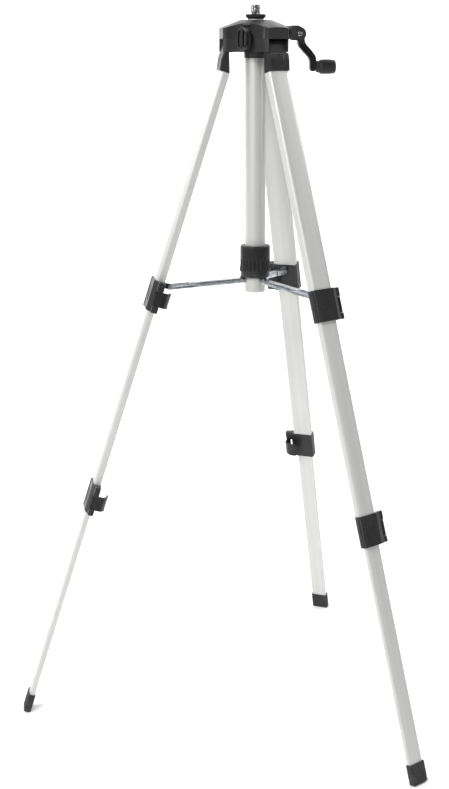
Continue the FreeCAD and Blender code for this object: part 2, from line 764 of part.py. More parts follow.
shaft = rod("X", size["shaft_r"], -14, size["crank_x"] + 2.5, at=(SHAFT_Y, size["crank_z"]))
pinion_turn = ALONG_X * rotation((0, 0, 1), HALF_TOOTH)
keep(shaft, "crank_shaft")
keep(pinion_gear(), "pinion_gear", FreeCAD.Placement(crank_line, pinion_turn))
keep(crank_hub(), "crank_hub", crank_plane)
px, pz = ARM_PIVOT
hinge_screw = fuse(rod("Y", 2, -HUB_HALF, HUB_HALF, at=(px, pz)),
                   rod("Y", 3.6, -HUB_HALF - 1.6, -HUB_HALF, at=(px, pz)),
                   rod("Y", 3.4, HUB_HALF, HUB_HALF + 1.6, at=(px, pz)))
keep(hinge_screw, "crank_hinge_screw", crank_plane)
keep(crank_arm(), "crank_arm", crank_plane)
keep(handle_pin(), "handle_pin", FreeCAD.Placement(handle_line, ALONG_X))
keep(crank_handle(), "crank_handle", FreeCAD.Placement(handle_line, ALONG_X))


# ---------------------------------------------------------------- column lock
def oval(sketch, half_w, half_h, shoulder, bend):
    """Upright oval: straight flanks up to the shoulders, closed by two arcs at either end."""
    outline(sketch, [
        (half_w, -shoulder), (half_w, shoulder), (0, half_h),
        (-half_w, shoulder), (-half_w, -shoulder), (0, -half_h)],
        {1: (bend, 1), 2: (bend, 1), 4: (bend, 1), 5: (bend, 1)})


def lock_knob():
    """Oval wing knob along the body's X axis, on a wider oval foot."""
    body = new_body("lock_knob")
    start, face_end = size["knob_r"], size["knob_r"] + 16
    half_w, flank = 7.4, 8
    stem = sketch_on(body, "YZ_Plane", start)
    ring(stem, 6)
    pad(body, stem, 4)
    foot = sketch_on(body, "YZ_Plane", start + 0.4)
    oval(foot, 9.2, 15.2, 8, 12.2)
    pad(body, foot, 5.6)
    wing = sketch_on(body, "YZ_Plane", start + 3)
    oval(wing, half_w, 15.4, 9, 12.2)
    pad(body, wing, face_end - start - 3)
    for x0, x1 in ((half_w - 1, half_w + 2), (-half_w - 2, 1 - half_w)):
        relief = sketch_on(body, "YZ_Plane", face_end)
        outline(relief, rectangle(x0, x1, -flank, flank))
        pocket(body, relief, 9)
    seat = sketch_on(body, "YZ_Plane", start)
    ring(seat, LOCK_SCREW_R)
    pocket(body, seat, 10, reverse=True)
    return body


KNOB_LINE = FreeCAD.Placement(FreeCAD.Vector(0, 0, size["knob_z"].value), rotation((0, 0, 1), KNOB_AZ))
keep(lock_knob(), "lock_knob", KNOB_LINE)
lock_screw = rod("X", LOCK_SCREW_R, size["column_r"] + 0.3, size["knob_r"] + 9.5)
keep(fuse(lock_screw, rod("X", 4, size["knob_r"] - 0.9, size["knob_r"])), "lock_screw", KNOB_LINE)


# ---------------------------------------------------------------- brace hub
def brace_hub():
    """Sliding hub with three ears; the ears are patterned from azimuth 0."""
    inner = size["guide_r"] + size["gap"]
    low, top = size["hub_end_z"], size["nut_end_z"] - 0.6
    body = revolved("brace_hub", [
        (inner, low), (20.4, low), (21.5, low + 1.1), (21.5, top), (18, top),
        (18, top + 24), (inner, top + 24)])
    ear = sketch_on(body, "XZ_Plane")
    r, z = size["hub_pivot_r"], size["hub_pivot_z"]
    curve = 3.2
    outline(ear, [
        (inner + 0.2, low + 1), (inner + 0.2, z - curve), (r, z - curve), (r + curve, z),
        (r + curve, low + 1)], {2: (curve, 1)})
    around(body, pad(body, ear, 7, middle=True), 3)
    hole = sketch_on(body, "XZ_Plane")
    ring(hole, 1.6, r, z)
    around(body, pocket(body, hole, 10, middle=True), 3)
    return body


def hub_nut():
    low, top, r = size["nut_end_z"], size["nut_top_z"], size["nut_r"]
    mid = low + 24.4
    inner = size["guide_r"] + size["gap"]
    body = revolved("hub_nut", [
        (18.4, low), (r, low), (r + 0.6, low + 1), (r + 0.6, low + 4), (r - 0.4, low + 9),
        (r - 0.4, top - 1.2),
        (r - 1.6, top), (inner, top), (inner, mid), (18.4, mid)])
    flute = sketch_on(body, "XY_Plane", low)
    ring(flute, 1.5, r + 1.2, 0)
    around(body, pocket(body, flute, 19, reverse=True), 22)
    return body


RIVET_R = 1.6
RIVET_HEAD_R = 2.6
RIVET_HEAD = 0.7
RIVET_BORE_R = 0.8


def rivet(azimuth, reach, z, shank_half):
    """Hollow rivet across a radial plane with a head at both ends."""
    shank = cross_rod(azimuth, RIVET_R, shank_half, reach, z)
    heads = cross_rod(azimuth, RIVET_HEAD_R, shank_half + RIVET_HEAD, reach, z)
    clear = cross_rod(azimuth, RIVET_HEAD_R + 1, shank_half, reach, z)
    bore = cross_rod(azimuth, RIVET_BORE_R, shank_half + RIVET_HEAD + 1, reach, z)
    return cut(fuse(cut(heads, clear), shank), bore)


keep(brace_hub(), "brace_hub", FreeCAD.Placement(FreeCAD.Vector(), rotation((0, 0, 1), 60)))
keep(hub_nut(), "hub_nut")
hub_spot = (size["hub_pivot_r"], size["hub_pivot_z"], size["brace_w"] / 2 + 0.3)
keep(compound([rivet(az, *hub_spot) for _, az in LEGS]), "hub_rivets")


# ---------------------------------------------------------------- legs
# Leg pieces stand in the leg's own frame: hinge pin at the origin, X outward, Y across, Z up the tube.
OUTER_ROUND = 6.0
MIDDLE_ROUND = 5.0
LOWER_ROUND = 3.6
INNER_ROUND = 2.0
TUBE_SEAT = 24.0
TUBE_HIDDEN = 60.0
BUSH_LEN = 14.0
FOOT_TRIM = 1.6


def leg_placement(azimuth):
    c, s = math.cos(math.radians(azimuth)), math.sin(math.radians(azimuth))
    r = size["pivot_r"].value
    spot = FreeCAD.Vector(r * c, r * s, size["pivot_z"].value)
    return FreeCAD.Placement(spot, rotation((0, 0, 1), azimuth) * rotation((0, 1, 0), -size["splay"].value))


def upright(edge):
    return abs(edge.tangentAt(edge.FirstParameter).z) > 0.9


def leg_tube(label, width, depth, start, end, crown):
    """Extruded leg section: full corners on the outer face, tight ones on the flat inner face."""
    body = new_body(label)
    section = sketch_on(body, "XY_Plane", -end)
    outline(section, rectangle(-depth / 2, depth / 2, -width / 2, width / 2))
    bar = pad(body, section, end - start)
    outer = round_edges(body, bar, crown, lambda edge: upright(edge) and edge.BoundBox.XMin > 0)
    flat_side = -1 - crown / 4
    both = round_edges(body, outer, INNER_ROUND,
                       lambda edge: upright(edge) and edge.BoundBox.XMax < flat_side)
    doc.recompute()
    faces = enumerate(both.Shape.Faces, start=1)
    ends = ["Face%d" % number for number, face in faces if abs(face.normalAt(0, 0).z) > 0.9]
    wall = body.newObject("PartDesign::Thickness", "Wall")
    wall.Base = (both, ends)
    bind(wall, "Value", size["tube_wall"])
    wall.Reversed = True
    return body


def fan_grooves(body, face_x, top, low, heads, feet, depth):
    """Finger grooves on the outer face, from the heads at the top to the feet below."""
    marks = sketch_on(body, "YZ_Plane", face_x + 1)
    for head, foot in zip(heads, feet):
        outline(marks, [(foot - 0.4, low), (foot + 0.4, low), (head + 1.1, top), (head - 1.1, top)])
    pocket(body, marks, depth + 1)


BRACKET_FOOT = 35.0
BRACKET_FACE = 10.9
SPIGOT = 22.0
KNUCKLE_WIDTH = 34.8


def leg_bracket(label):
    """Hinge knuckle in the spider's slot, then a slim wedge and a spigot inside the upper tube."""
    body = new_body(label)
    foot, face = -BRACKET_FOOT, BRACKET_FACE
    top_half, foot_half = 20.3, 18.3
    wedge = sketch_on(body, "XZ_Plane")
    outline(wedge, [(3.0, -7.6), (-7.0, foot), (8.3, foot), (face, -20), (face, -10.9)])
    pad(body, wedge, top_half * 2, middle=True)
    taper = sketch_on(body, "YZ_Plane")
    for side in (1, -1):
        outline(taper, [(side * top_half, -7), (side * (top_half + 3), -7),
                        (side * (top_half + 3), foot - 1), (side * foot_half, foot - 1)])
    slim = pocket(body, taper, 60, middle=True)
    round_edges(body, slim, 3.2, lambda edge: upright(edge) and edge.BoundBox.XMin > 5)
    knuckle = sketch_on(body, "XZ_Plane")
    outline(knuckle, [
        (-6.5, -4.2), (2.8, -7.3), (2.8, -12), (face - 0.4, -12), (face - 0.4, 0),
        (3, 10.2), (-3, 10.2), (-6.5, 6)], {4: (11.5, 1)})
    pad(body, knuckle, KNUCKLE_WIDTH, middle=True)
    bore = sketch_on(body, "XZ_Plane")
    ring(bore, size["pin_r"] + size["fit"], 0, 0)
    pocket(body, bore, 60, middle=True)
    spigot = sketch_on(body, "XY_Plane", foot + 1)
    half_x = size["upper_d"] / 2 - size["tube_wall"] - size["fit"]
    half_y = size["upper_w"] / 2 - size["tube_wall"] - size["fit"]
    rounded_rectangle(spigot, half_x, half_y, OUTER_ROUND - 1, INNER_ROUND - 1)
    pad(body, spigot, SPIGOT + 1, reverse=True)
    fan_grooves(body, face, -12, -29, (-14.4, -7.2, 0, 7.2, 14.4), (-8, -4, 0, 4, 8), 1.2)
    return body


EAR = 13.0
WINDOW_LEN = 23.6
LEVER_LEN = 22.6
LEVER_PIN_R = 1.0
PIN_OUT = 12.0
EAR_OUT = 15.4


def lock_section(width, depth):
    """Casing limits: inner x, outer x, -Y side, the tube's +Y edge, and the lever pin's y."""
    edge = width / 2
    return {"x0": -depth / 2 - 1.0, "x1": depth / 2 + 1.7, "y0": -edge - 1.0, "edge": edge,
            "ear_x": 0.2 - depth / 2, "pin_y": edge + PIN_OUT}


def lock_casing(label, tube, next_tube, start, end, with_lug):
    """Clamp round the foot of one tube; two ears on its +Y side carry the lever."""
    body = new_body(label)
    width, depth, crown = tube
    lim = lock_section(width, depth)
    x0, x1, y0, edge, ear_x = (lim[name] for name in ("x0", "x1", "y0", "edge", "ear_x"))
    bevel = 2.6
    ear_x1 = 3.0
    section = sketch_on(body, "XY_Plane", -end)
    outline(section, [
        (x0, y0 + 1.5), (x0 + 1.5, y0), (x1 - bevel, y0), (x1, y0 + bevel), (x1, edge - 2),
        (ear_x1, edge + 9), (ear_x1, edge + EAR_OUT - 1.4), (ear_x1 - 1.6, edge + EAR_OUT),
        (ear_x + 1.6, edge + EAR_OUT), (ear_x, edge + EAR_OUT - 1.6), (ear_x, edge + 1.6),
        (x0 + 1.2, edge + 1.2), (x0, edge)])
    pad(body, section, end - start)
    bead = sketch_on(body, "XY_Plane", -end)
    ring(bead, 2.2, x1 - 1.4, y0 + 2.2)
    pad(body, bead, end - start)
    if with_lug:
        lug = sketch_on(body, "XZ_Plane")
        o, s, curve = size["lug_o"], size["lug_s"], 4.0
        outline(lug, [(x0 + 1, -s - curve), (-o, -s - curve), (-o, curve - s), (x0 + 1, curve - s)],
                {1: (curve + 0.4, -1)})
        pad(body, lug, 8.6, middle=True)
    upper = sketch_on(body, "XY_Plane", -start)
    rounded_rectangle(upper, depth / 2 + size["fit"], edge + size["fit"], crown - 0.5, INNER_ROUND - 0.5)
    pocket(body, upper, TUBE_SEAT)
    lower = sketch_on(body, "XY_Plane", -end)
    next_w, next_d = next_tube[0] / 2 + size["gap"], next_tube[1] / 2 + size["gap"]
    outline(lower, rectangle(-next_d, next_d, -next_w, next_w))
    pocket(body, lower, end - start, reverse=True)
    window = sketch_on(body, "XY_Plane", -start - EAR)
    outline(window, rectangle(x0 - 1, ear_x1 + 0.5, edge + 1.2, edge + EAR_OUT + 1))
    pocket(body, window, WINDOW_LEN)
    pin = sketch_on(body, "XY_Plane", -start - EAR - WINDOW_LEN - 1)
    ring(pin, LEVER_PIN_R, 0, lim["pin_y"])
    pad(body, pin, WINDOW_LEN + 2)
    if with_lug:
        bore = sketch_on(body, "XZ_Plane")
        ring(bore, RIVET_R + size["fit"], -size["lug_o"], -size["lug_s"])
        pocket(body, bore, 20, middle=True)
    fan_grooves(body, x1, -start - 11, -start - 33, (-11, -5, 1, 6), (-2, 1, 4, 6.5), 0.8)
    return body


def lock_lever(label, tube, start):
    """Flip lever on a pin parallel to the tube; its thumb flap turns back over the inner side."""
    body = new_body(label)
    py = lock_section(*tube[:2])["pin_y"]
    low = -(start + EAR + (WINDOW_LEN + LEVER_LEN) / 2)
    flap_out, flap_in, flap_end = -21.5, -18.0, py - 20
    barrel = sketch_on(body, "XY_Plane", low)
    ring(barrel, 3.2, 0, py)
    pad(body, barrel, LEVER_LEN)
    plate = sketch_on(body, "XY_Plane", low)
    outline(plate, [
        (0, py - 1), (0, py + 2.3), (flap_out + 2, py + 2.3), (flap_out, py + 0.3),
        (flap_out, flap_end + 1.7), (flap_out + 1.7, flap_end), (flap_in, flap_end + 1.7),
        (flap_in, py - 3), (flap_in + 2, py - 1)])
    pad(body, plate, LEVER_LEN)
    bore = sketch_on(body, "XY_Plane", low)
    ring(bore, LEVER_PIN_R + size["fit"], 0, py)
    pocket(body, bore, LEVER_LEN, reverse=True)
    return body


def slide_bush(label, start):
    """Pair of plastic runners on the edges of the middle tube, a sliding fit in the upper tube."""
    body = new_body(label)
    wall = size["tube_wall"]
    w, d = size["upper_w"] / 2 - wall - 0.3, size["upper_d"] / 2 - wall - 0.3
    section = sketch_on(body, "XY_Plane", -start - BUSH_LEN)
    outline(section, rectangle(-d, d, -w, w))
    block = pad(body, section, BUSH_LEN)
    round_edges(body, block, 4.6, lambda edge: upright(edge) and edge.BoundBox.XMin > 0)
    hole = sketch_on(body, "XY_Plane", -start - BUSH_LEN)
    mw = size["mid_w"] / 2
    outline(hole, rectangle(-d - 1, d + 1, -mw, mw))
    pocket(body, hole, BUSH_LEN, reverse=True)
    return body


def leg_foot(label):
    """Rubber cap on the lower tube with a small flat that stands on the ground."""
    body = new_body(label)
    w, d = size["lower_w"] / 2 + 1.6, size["lower_d"] / 2 + 1.7
    end, length = size["foot_end"], size["foot_len"]
    section = sketch_on(body, "XY_Plane", -end)
    outline(section, rectangle(-d, d, -w, w))
    block = pad(body, section, length)
    sides = round_edges(body, block, 3.4, upright)
    round_edges(body, sides, 1.6, lambda edge: edge.BoundBox.ZMax < -(end.value - 0.1))
    socket = sketch_on(body, "XY_Plane", length - end)
    tw, td = size["lower_w"] / 2 + 0.02, size["lower_d"] / 2 + 0.02
    outline(socket, rectangle(-td, td, -tw, tw))
    pocket(body, socket, length - 6)
    angle = math.radians(size["splay"].value)
    slope = math.tan(angle)
    level = -(end + d * slope - FOOT_TRIM / math.cos(angle))
    reach = 12
    flat = sketch_on(body, "XZ_Plane")
    outline(flat, [(-reach, level + reach * slope), (-reach, level - 30), (reach, level - 30),
                   (reach, level - reach * slope)])
    pocket(body, flat, 80, middle=True)
    return body


# ---------------------------------------------------------------- braces
# Brace pieces stand in the brace's own frame: hub hinge at the origin, X outward, Z up.
def brace_placement(azimuth):
    c, s = math.cos(math.radians(azimuth)), math.sin(math.radians(azimuth))
    r, z = size["hub_pivot_r"].value, size["hub_pivot_z"].value
    angle = math.radians(size["splay"].value)
    along, inward = size["lug_s"].value, size["lug_o"].value
    lug_r = size["pivot_r"].value + along * math.sin(angle) - inward * math.cos(angle)
    lug_z = size["pivot_z"].value - along * math.cos(angle) - inward * math.sin(angle)
    fall = math.degrees(math.atan2(z - lug_z, lug_r - r))
    turn = rotation((0, 0, 1), azimuth) * rotation((0, 1, 0), fall)
    return FreeCAD.Placement(FreeCAD.Vector(r * c, r * s, z), turn)


CHANNEL_SHORT = 28.0
CHANNEL_TOP = 3.6
CHANNEL_LOW = -3.3


def brace_channel(label):
    """Pressed channel, open below, hinged on a hub ear."""
    body = new_body(label)
    far = size["brace_len"] - CHANNEL_SHORT
    curve = 3.2
    side = sketch_on(body, "XZ_Plane")
    outline(side, [(0, -curve), (far, CHANNEL_LOW), (far, CHANNEL_TOP), (4.2, CHANNEL_TOP), (0, curve)],
            {4: (curve + 0.2, 1)})
    pad(body, side, size["brace_w"], middle=True)
    hollow = sketch_on(body, "YZ_Plane", -6)
    half = size["brace_w"] / 2 - size["brace_gauge"]
    outline(hollow, rectangle(-half, half, -8, CHANNEL_TOP - size["brace_gauge"]))
    pocket(body, hollow, size["brace_len"] + 10, reverse=True)
    relief = sketch_on(body, "YZ_Plane", -6)
    outline(relief, rectangle(-half, half, 0, 6))
    pocket(body, relief, 11.5, reverse=True)
    hole = sketch_on(body, "XZ_Plane")
    ring(hole, RIVET_R + size["fit"], 0, 0)
    pocket(body, hole, 20, middle=True)
    return body


def brace_fork(label):
    """Fork on the leg's lug: two side plates over the channel, joined by their hollow rivet."""
    inner = size["brace_w"] / 2 + 0.35
    outer = inner + size["brace_gauge"]
    length = size["brace_len"]
    plates = []
    for y0, y1 in ((inner, outer), (-outer, -inner)):
        strip = box(length - CHANNEL_SHORT - 12, length, y0, y1, CHANNEL_LOW, CHANNEL_TOP)
        plates += [strip, rod("Y", 3.6, y0, y1, at=(length, 0))]
    tip = outer + RIVET_HEAD
    shank = rod("Y", RIVET_R, -tip, tip, at=(length, 0))
    heads = [rod("Y", RIVET_HEAD_R, outer, tip, at=(length, 0)),
             rod("Y", RIVET_HEAD_R, -tip, -outer, at=(length, 0))]
    bore = rod("Y", RIVET_BORE_R, -tip - 1, tip + 1, at=(length, 0))
    return cut(fuse(shank, *plates, *heads), bore)


UPPER = (size["upper_w"], size["upper_d"], OUTER_ROUND)
MIDDLE = (size["mid_w"], size["mid_d"], MIDDLE_ROUND)
LOWER = (size["lower_w"], size["lower_d"], LOWER_ROUND)
lock1_top, lock1_end = size["lock1_top"], size["lock1_end"]
lock2_top, lock2_end = size["lock2_top"], size["lock2_end"]


def leg_pieces(prefix):
    """Each piece of a leg by its label."""
    spans = [("upper", UPPER, BRACKET_FOOT + size["fit"], lock1_top + TUBE_SEAT - 0.1),
             ("middle", MIDDLE, lock1_end - TUBE_HIDDEN, lock2_top + TUBE_SEAT - 0.1),
             ("lower", LOWER, lock2_end - TUBE_HIDDEN, size["foot_end"] - 6.1)]
    pieces = {}
    for part, (width, depth, crown), start, end in spans:
        label = prefix + part + "_tube"
        pieces[label] = leg_tube(label, width, depth, start, end, crown)
    locks = [("upper", UPPER, MIDDLE, lock1_top, lock1_end, True),
             ("lower", MIDDLE, LOWER, lock2_top, lock2_end, False)]
    for part, tube, next_tube, start, end, with_lug in locks:
        label = prefix + part + "_lock"
        pieces[label] = lock_casing(label, tube, next_tube, start, end, with_lug)
        label = prefix + part + "_lever"
        pieces[label] = lock_lever(label, tube, start)
    pieces[prefix + "bracket"] = leg_bracket(prefix + "bracket")
    pieces[prefix + "slide_bush"] = slide_bush(prefix + "slide_bush", lock1_end - TUBE_HIDDEN)
    pieces[prefix + "foot"] = leg_foot(prefix + "foot")
    return pieces


for name, azimuth in LEGS:
    for label, piece in leg_pieces("leg_%s_" % name).items():
        keep(piece, label, leg_placement(azimuth))
    keep(brace_channel("brace_%s" % name), "brace_%s" % name, brace_placement(azimuth))
    keep(brace_fork("brace_%s_fork" % name), "brace_%s_fork" % name, brace_placement(azimuth))


# ---------------------------------------------------------------- write the sub-parts
def write_parts():
    doc.recompute()
    for obj in doc.Objects:
        if "Invalid" in obj.State or "Error" in obj.State:
            raise RuntimeError("%s (%s) did not build: %s" % (obj.Name, obj.Label, obj.State))
    for obj in PARTS:
        if obj.Shape.isNull() or not obj.Shape.isValid():
            raise RuntimeError("%s has no valid shape" % obj.Label)
    os.makedirs("parts", exist_ok=True)
    for obj in PARTS:
        obj.Shape.exportStep("parts/%s.step" % obj.Label)
        print("%-22s %2d solid(s) %10.1f mm3" % (obj.Label, len(obj.Shape.Solids), obj.Shape.Volume))


write_parts()
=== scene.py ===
import json
from math import ceil, copysign, cos, pi, radians, sin, sqrt, tan

import bmesh
import bpy
from mathutils import Matrix, Vector

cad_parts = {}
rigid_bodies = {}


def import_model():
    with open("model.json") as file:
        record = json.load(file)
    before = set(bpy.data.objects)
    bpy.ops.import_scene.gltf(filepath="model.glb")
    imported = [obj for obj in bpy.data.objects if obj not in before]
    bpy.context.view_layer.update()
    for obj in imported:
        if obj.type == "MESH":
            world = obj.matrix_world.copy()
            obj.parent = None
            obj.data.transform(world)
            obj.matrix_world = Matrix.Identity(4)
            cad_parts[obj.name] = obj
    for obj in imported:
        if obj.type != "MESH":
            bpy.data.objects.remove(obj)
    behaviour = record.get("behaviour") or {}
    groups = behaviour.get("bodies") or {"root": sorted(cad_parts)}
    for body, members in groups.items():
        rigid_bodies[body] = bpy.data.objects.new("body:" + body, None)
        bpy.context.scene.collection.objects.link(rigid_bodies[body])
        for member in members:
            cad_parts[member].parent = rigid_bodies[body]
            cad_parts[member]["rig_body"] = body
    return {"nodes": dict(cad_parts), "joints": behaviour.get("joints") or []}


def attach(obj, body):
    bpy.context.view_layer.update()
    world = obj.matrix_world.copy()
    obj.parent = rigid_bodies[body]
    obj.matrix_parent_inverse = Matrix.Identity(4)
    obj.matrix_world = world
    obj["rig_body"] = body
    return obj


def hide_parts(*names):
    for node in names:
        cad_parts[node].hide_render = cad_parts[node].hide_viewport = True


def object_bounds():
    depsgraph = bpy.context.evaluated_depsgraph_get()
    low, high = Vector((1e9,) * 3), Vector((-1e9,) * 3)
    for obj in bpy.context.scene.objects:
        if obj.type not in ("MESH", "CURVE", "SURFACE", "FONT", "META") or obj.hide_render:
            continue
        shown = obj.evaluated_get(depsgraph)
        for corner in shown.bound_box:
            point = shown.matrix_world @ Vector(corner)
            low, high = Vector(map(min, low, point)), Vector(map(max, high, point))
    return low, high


# Looks of an elevating tripod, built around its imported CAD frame.
# Pieces are shaped in millimetres in a local frame and land in metres in the row frame.

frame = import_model()
cad_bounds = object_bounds()

MM = 0.001
LEGS = "abc"
SMOOTH_UNDER = 38.0


# ------------------------ local frames
def joint(name):
    return next(j for j in frame["joints"] if j["name"] == name)


def axes_at(origin, x_axis, y_axis, z_axis):
    """Matrix from local millimetres to the row frame's metres."""
    turn = Matrix((x_axis, y_axis, z_axis)).transposed().to_4x4()
    return Matrix.Translation(Vector(origin)) @ turn @ Matrix.Scale(MM, 4)


def leg_frame(letter):
    """Leg frame: hinge pin at the origin, x outward, y along the pin, z up the tube."""
    fold = joint("leg_%s_fold" % letter)
    up = Vector(joint("leg_%s_middle_slide" % letter)["axis"])
    across = Vector(fold["axis"])
    return axes_at(fold["pos_m"], across.cross(up), across, up)


def brace_frame(letter):
    """Brace frame: hub hinge at the origin, x towards the leg's lug, z up."""
    near = Vector(joint("brace_%s_hinge" % letter)["pos_m"])
    far = Vector(joint("brace_%s_fork_hinge" % letter)["pos_m"])
    along = (far - near).normalized()
    across = Vector(joint("brace_%s_hinge" % letter)["axis"]).normalized()
    return axes_at(near, along, across, along.cross(across))


def crank_frame():
    """Crank frame: parallel to the row frame, origin on the arm's folding screw."""
    spot = joint("crank_arm_fold")["pos_m"]
    return axes_at(spot, (1, 0, 0), (0, 1, 0), (0, 0, 1))


def knob_frame():
    """Knob frame: z out along the lock screw, y up."""
    turn = joint("column_lock_turn")
    out = Vector(turn["axis"])
    side = Vector((0, 0, 1)).cross(out)
    level = turn["pos_m"][2]
    return axes_at((0, 0, level), side, (0, 0, 1), out)


WORLD_MM = Matrix.Scale(MM, 4)


def body_of(node):
    return frame["nodes"][node]["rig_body"]


def local_box(node, matrix):
    """Lowest and highest corner of a CAD node in a local frame, in millimetres."""
    back = matrix.inverted()
    spots = [back @ v.co for v in frame["nodes"][node].data.vertices]
    low = Vector(min(p[i] for p in spots) for i in range(3))
    high = Vector(max(p[i] for p in spots) for i in range(3))
    return low, high


# ------------------------ outlines
def arc(radius, degrees, centre=(0, 0)):
    """Points of a circle at the given angles."""
    x, y = centre
    return [(x + radius * cos(a), y + radius * sin(a)) for a in map(radians, degrees)]


def block(half_x, half_y):
    """Corners of a rectangle about the origin."""
    return [(-half_x, -half_y), (half_x, -half_y), (half_x, half_y), (-half_x, half_y)]


def rounded(points, radii, steps=5, splits=1):
    """Closed outline with its corners rounded; radii and splits are one number or one for each corner."""
    spots = [Vector(p) for p in points]
    count = len(spots)
    radii = radii if isinstance(radii, (list, tuple)) else [radii] * count
    splits = splits if isinstance(splits, (list, tuple)) else [splits] * count
    arcs = []
    for n, corner in enumerate(spots):
        before = spots[n - 1] - corner
        after = spots[(n + 1) % count] - corner
        half = max(before.angle(after) / 2, 0.05)
        reach = min(radii[n] / tan(half), before.length * 0.48, after.length * 0.48)
        start = corner + before.normalized() * reach
        end = corner + after.normalized() * reach
        ways = [k / steps for k in range(steps + 1)]
        arcs.append([start * (1 - t) ** 2 + corner * (2 * t * (1 - t)) + end * t ** 2 for t in ways])
    loop = []
    for n, arc in enumerate(arcs):
        following = arcs[(n + 1) % count][0]
        loop += arc
        loop += [arc[-1].lerp(following, k / splits[n]) for k in range(1, splits[n])]
    return loop


def spaced(loop, limit):
    """The same outline with its long edges divided."""
    made = []
    for n, spot in enumerate(loop):
        following = loop[(n + 1) % len(loop)]
        count = max(1, ceil((following - spot).length / limit))
        made += [spot.lerp(following, k / count) for k in range(count)]
    return made


def outward(loop):
    """Outward normals of an outline that runs anticlockwise."""
    normals = []
    for n in range(len(loop)):
        along = loop[(n + 1) % len(loop)] - loop[n - 1]
        normals.append(Vector((along.y, -along.x)).normalized())
    return normals


def shrunk(loop, amount):
    return [p - normal * amount for p, normal in zip(loop, outward(loop))]


def smooth(t):
    t = min(max(t, 0.0), 1.0)
    return t * t * (3 - 2 * t)


def bump(value, centre, half):
    """Smooth hill of height one about a centre."""
    return smooth(1 - abs(value - centre) / half)


def rounding(distance, radius):
    """How far a rounded corner stands back at a distance from its end, from 1 down to 0."""
    return 1 - sqrt(max(0.0, 1 - (1 - min(distance / radius, 1.0)) ** 2))


def spread_of(first, last, pitch):
    count = max(1, ceil(abs(last - first) / pitch))
    return [first + (last - first) * k / count for k in range(count + 1)]


# ------------------------ meshes
class Shape:
    """Collects closed shells in a local frame and makes them one piece."""

    def __init__(self, matrix):
        self.matrix = matrix
        self.points = []
        self.faces = []

    def loft(self, rings, closed=False):
        """Skin over rings of equal length; the ends are capped unless the rings close on themselves."""
        first = len(self.points)
        count = len(rings[0])
        for ring in rings:
            self.points += [self.matrix @ Vector(p) for p in ring]
        for row in range(len(rings) if closed else len(rings) - 1):
            here = first + row * count
            there = first + ((row + 1) % len(rings)) * count
            for n in range(count):
                after = (n + 1) % count
                self.faces.append((here + n, here + after, there + after, there + n))
        if not closed:
            self.faces.append(tuple(first + n for n in reversed(range(count))))
            self.faces.append(tuple(first + (len(rings) - 1) * count + n for n in range(count)))

    def lathe(self, profile, segments, closed=False, shape=None, turn=None):
        """Turned shell about local z; shape(angle, r, z) gives a changed radius."""
        rings = []
        for r, z in profile:
            ring = []
            for n in range(segments):
                angle = 2 * pi * n / segments
                radius = shape(angle, r, z) if shape else r
                spot = Vector((radius * cos(angle), radius * sin(angle), z))
                ring.append(turn @ spot if turn else spot)
            rings.append(ring)
        self.loft(rings, closed)

    def piece(self, name, material, body, nodes=(), crease=SMOOTH_UNDER):
        mesh = bpy.data.meshes.new(name)
        mesh.from_pydata(self.points, [], self.faces)
        work = bmesh.new()
        work.from_mesh(mesh)
        bmesh.ops.remove_doubles(work, verts=work.verts, dist=2e-6)
        bmesh.ops.dissolve_degenerate(work, edges=work.edges, dist=1e-6)
        bmesh.ops.recalc_face_normals(work, faces=work.faces)
        work.to_mesh(mesh)
        work.free()
        add_piece(name, mesh, material, body, nodes, crease)


def placed(name, data):
    """New object in the scene for a mesh, a light or the camera."""
    obj = bpy.data.objects.new(name, data)
    bpy.context.scene.collection.objects.link(obj)
    return obj


def add_piece(name, mesh, material, body, nodes, crease):
    mesh.polygons.foreach_set("use_smooth", [True] * len(mesh.polygons))
    mesh.set_sharp_from_angle(angle=radians(crease))
    mesh.materials.clear()
    mesh.materials.append(material)
    obj = placed(name, mesh)
    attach(obj, body)
    if nodes:
        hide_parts(*nodes)
    return obj


def clean_copy(node):
    """A CAD node's mesh with its flat faces joined back into single faces."""
    work = bmesh.new()
    work.from_mesh(frame["nodes"][node].data)
    bmesh.ops.remove_doubles(work, verts=work.verts, dist=2e-6)
    bmesh.ops.dissolve_limit(work, angle_limit=radians(0.8), verts=work.verts, edges=work.edges)
    bmesh.ops.recalc_face_normals(work, faces=work.faces)
    points = [v.co.copy() for v in work.verts]
    work.verts.index_update()
    faces = [[v.index for v in f.verts] for f in work.faces]
    work.free()
    mesh = bpy.data.meshes.new(node + "_soft")
    mesh.from_pydata(points, [], faces)
    return mesh


def soften(node, material, width, segments):
    """The CAD shape with moulded edges: every sharp edge gets a small radius."""
    obj = add_piece(node + "_soft", clean_copy(node), material, body_of(node), [node], 30)
    bevel = obj.modifiers.new("Edges", "BEVEL")
    bevel.limit_method = "ANGLE"
    bevel.angle_limit = radians(28)
    bevel.width = width * MM
    bevel.segments = segments
    bevel.use_clamp_overlap = True
    bevel.harden_normals = True


# ------------------------ materials
def fill_ramp(node, stops):
    """Set a colour ramp's stops, each a position and a colour."""
    elements = node.color_ramp.elements
    while len(elements) < len(stops):
        elements.new(0.5)
    for element, (position, colour) in zip(elements, stops):
        element.position = position
        element.color = (*colour, 1)


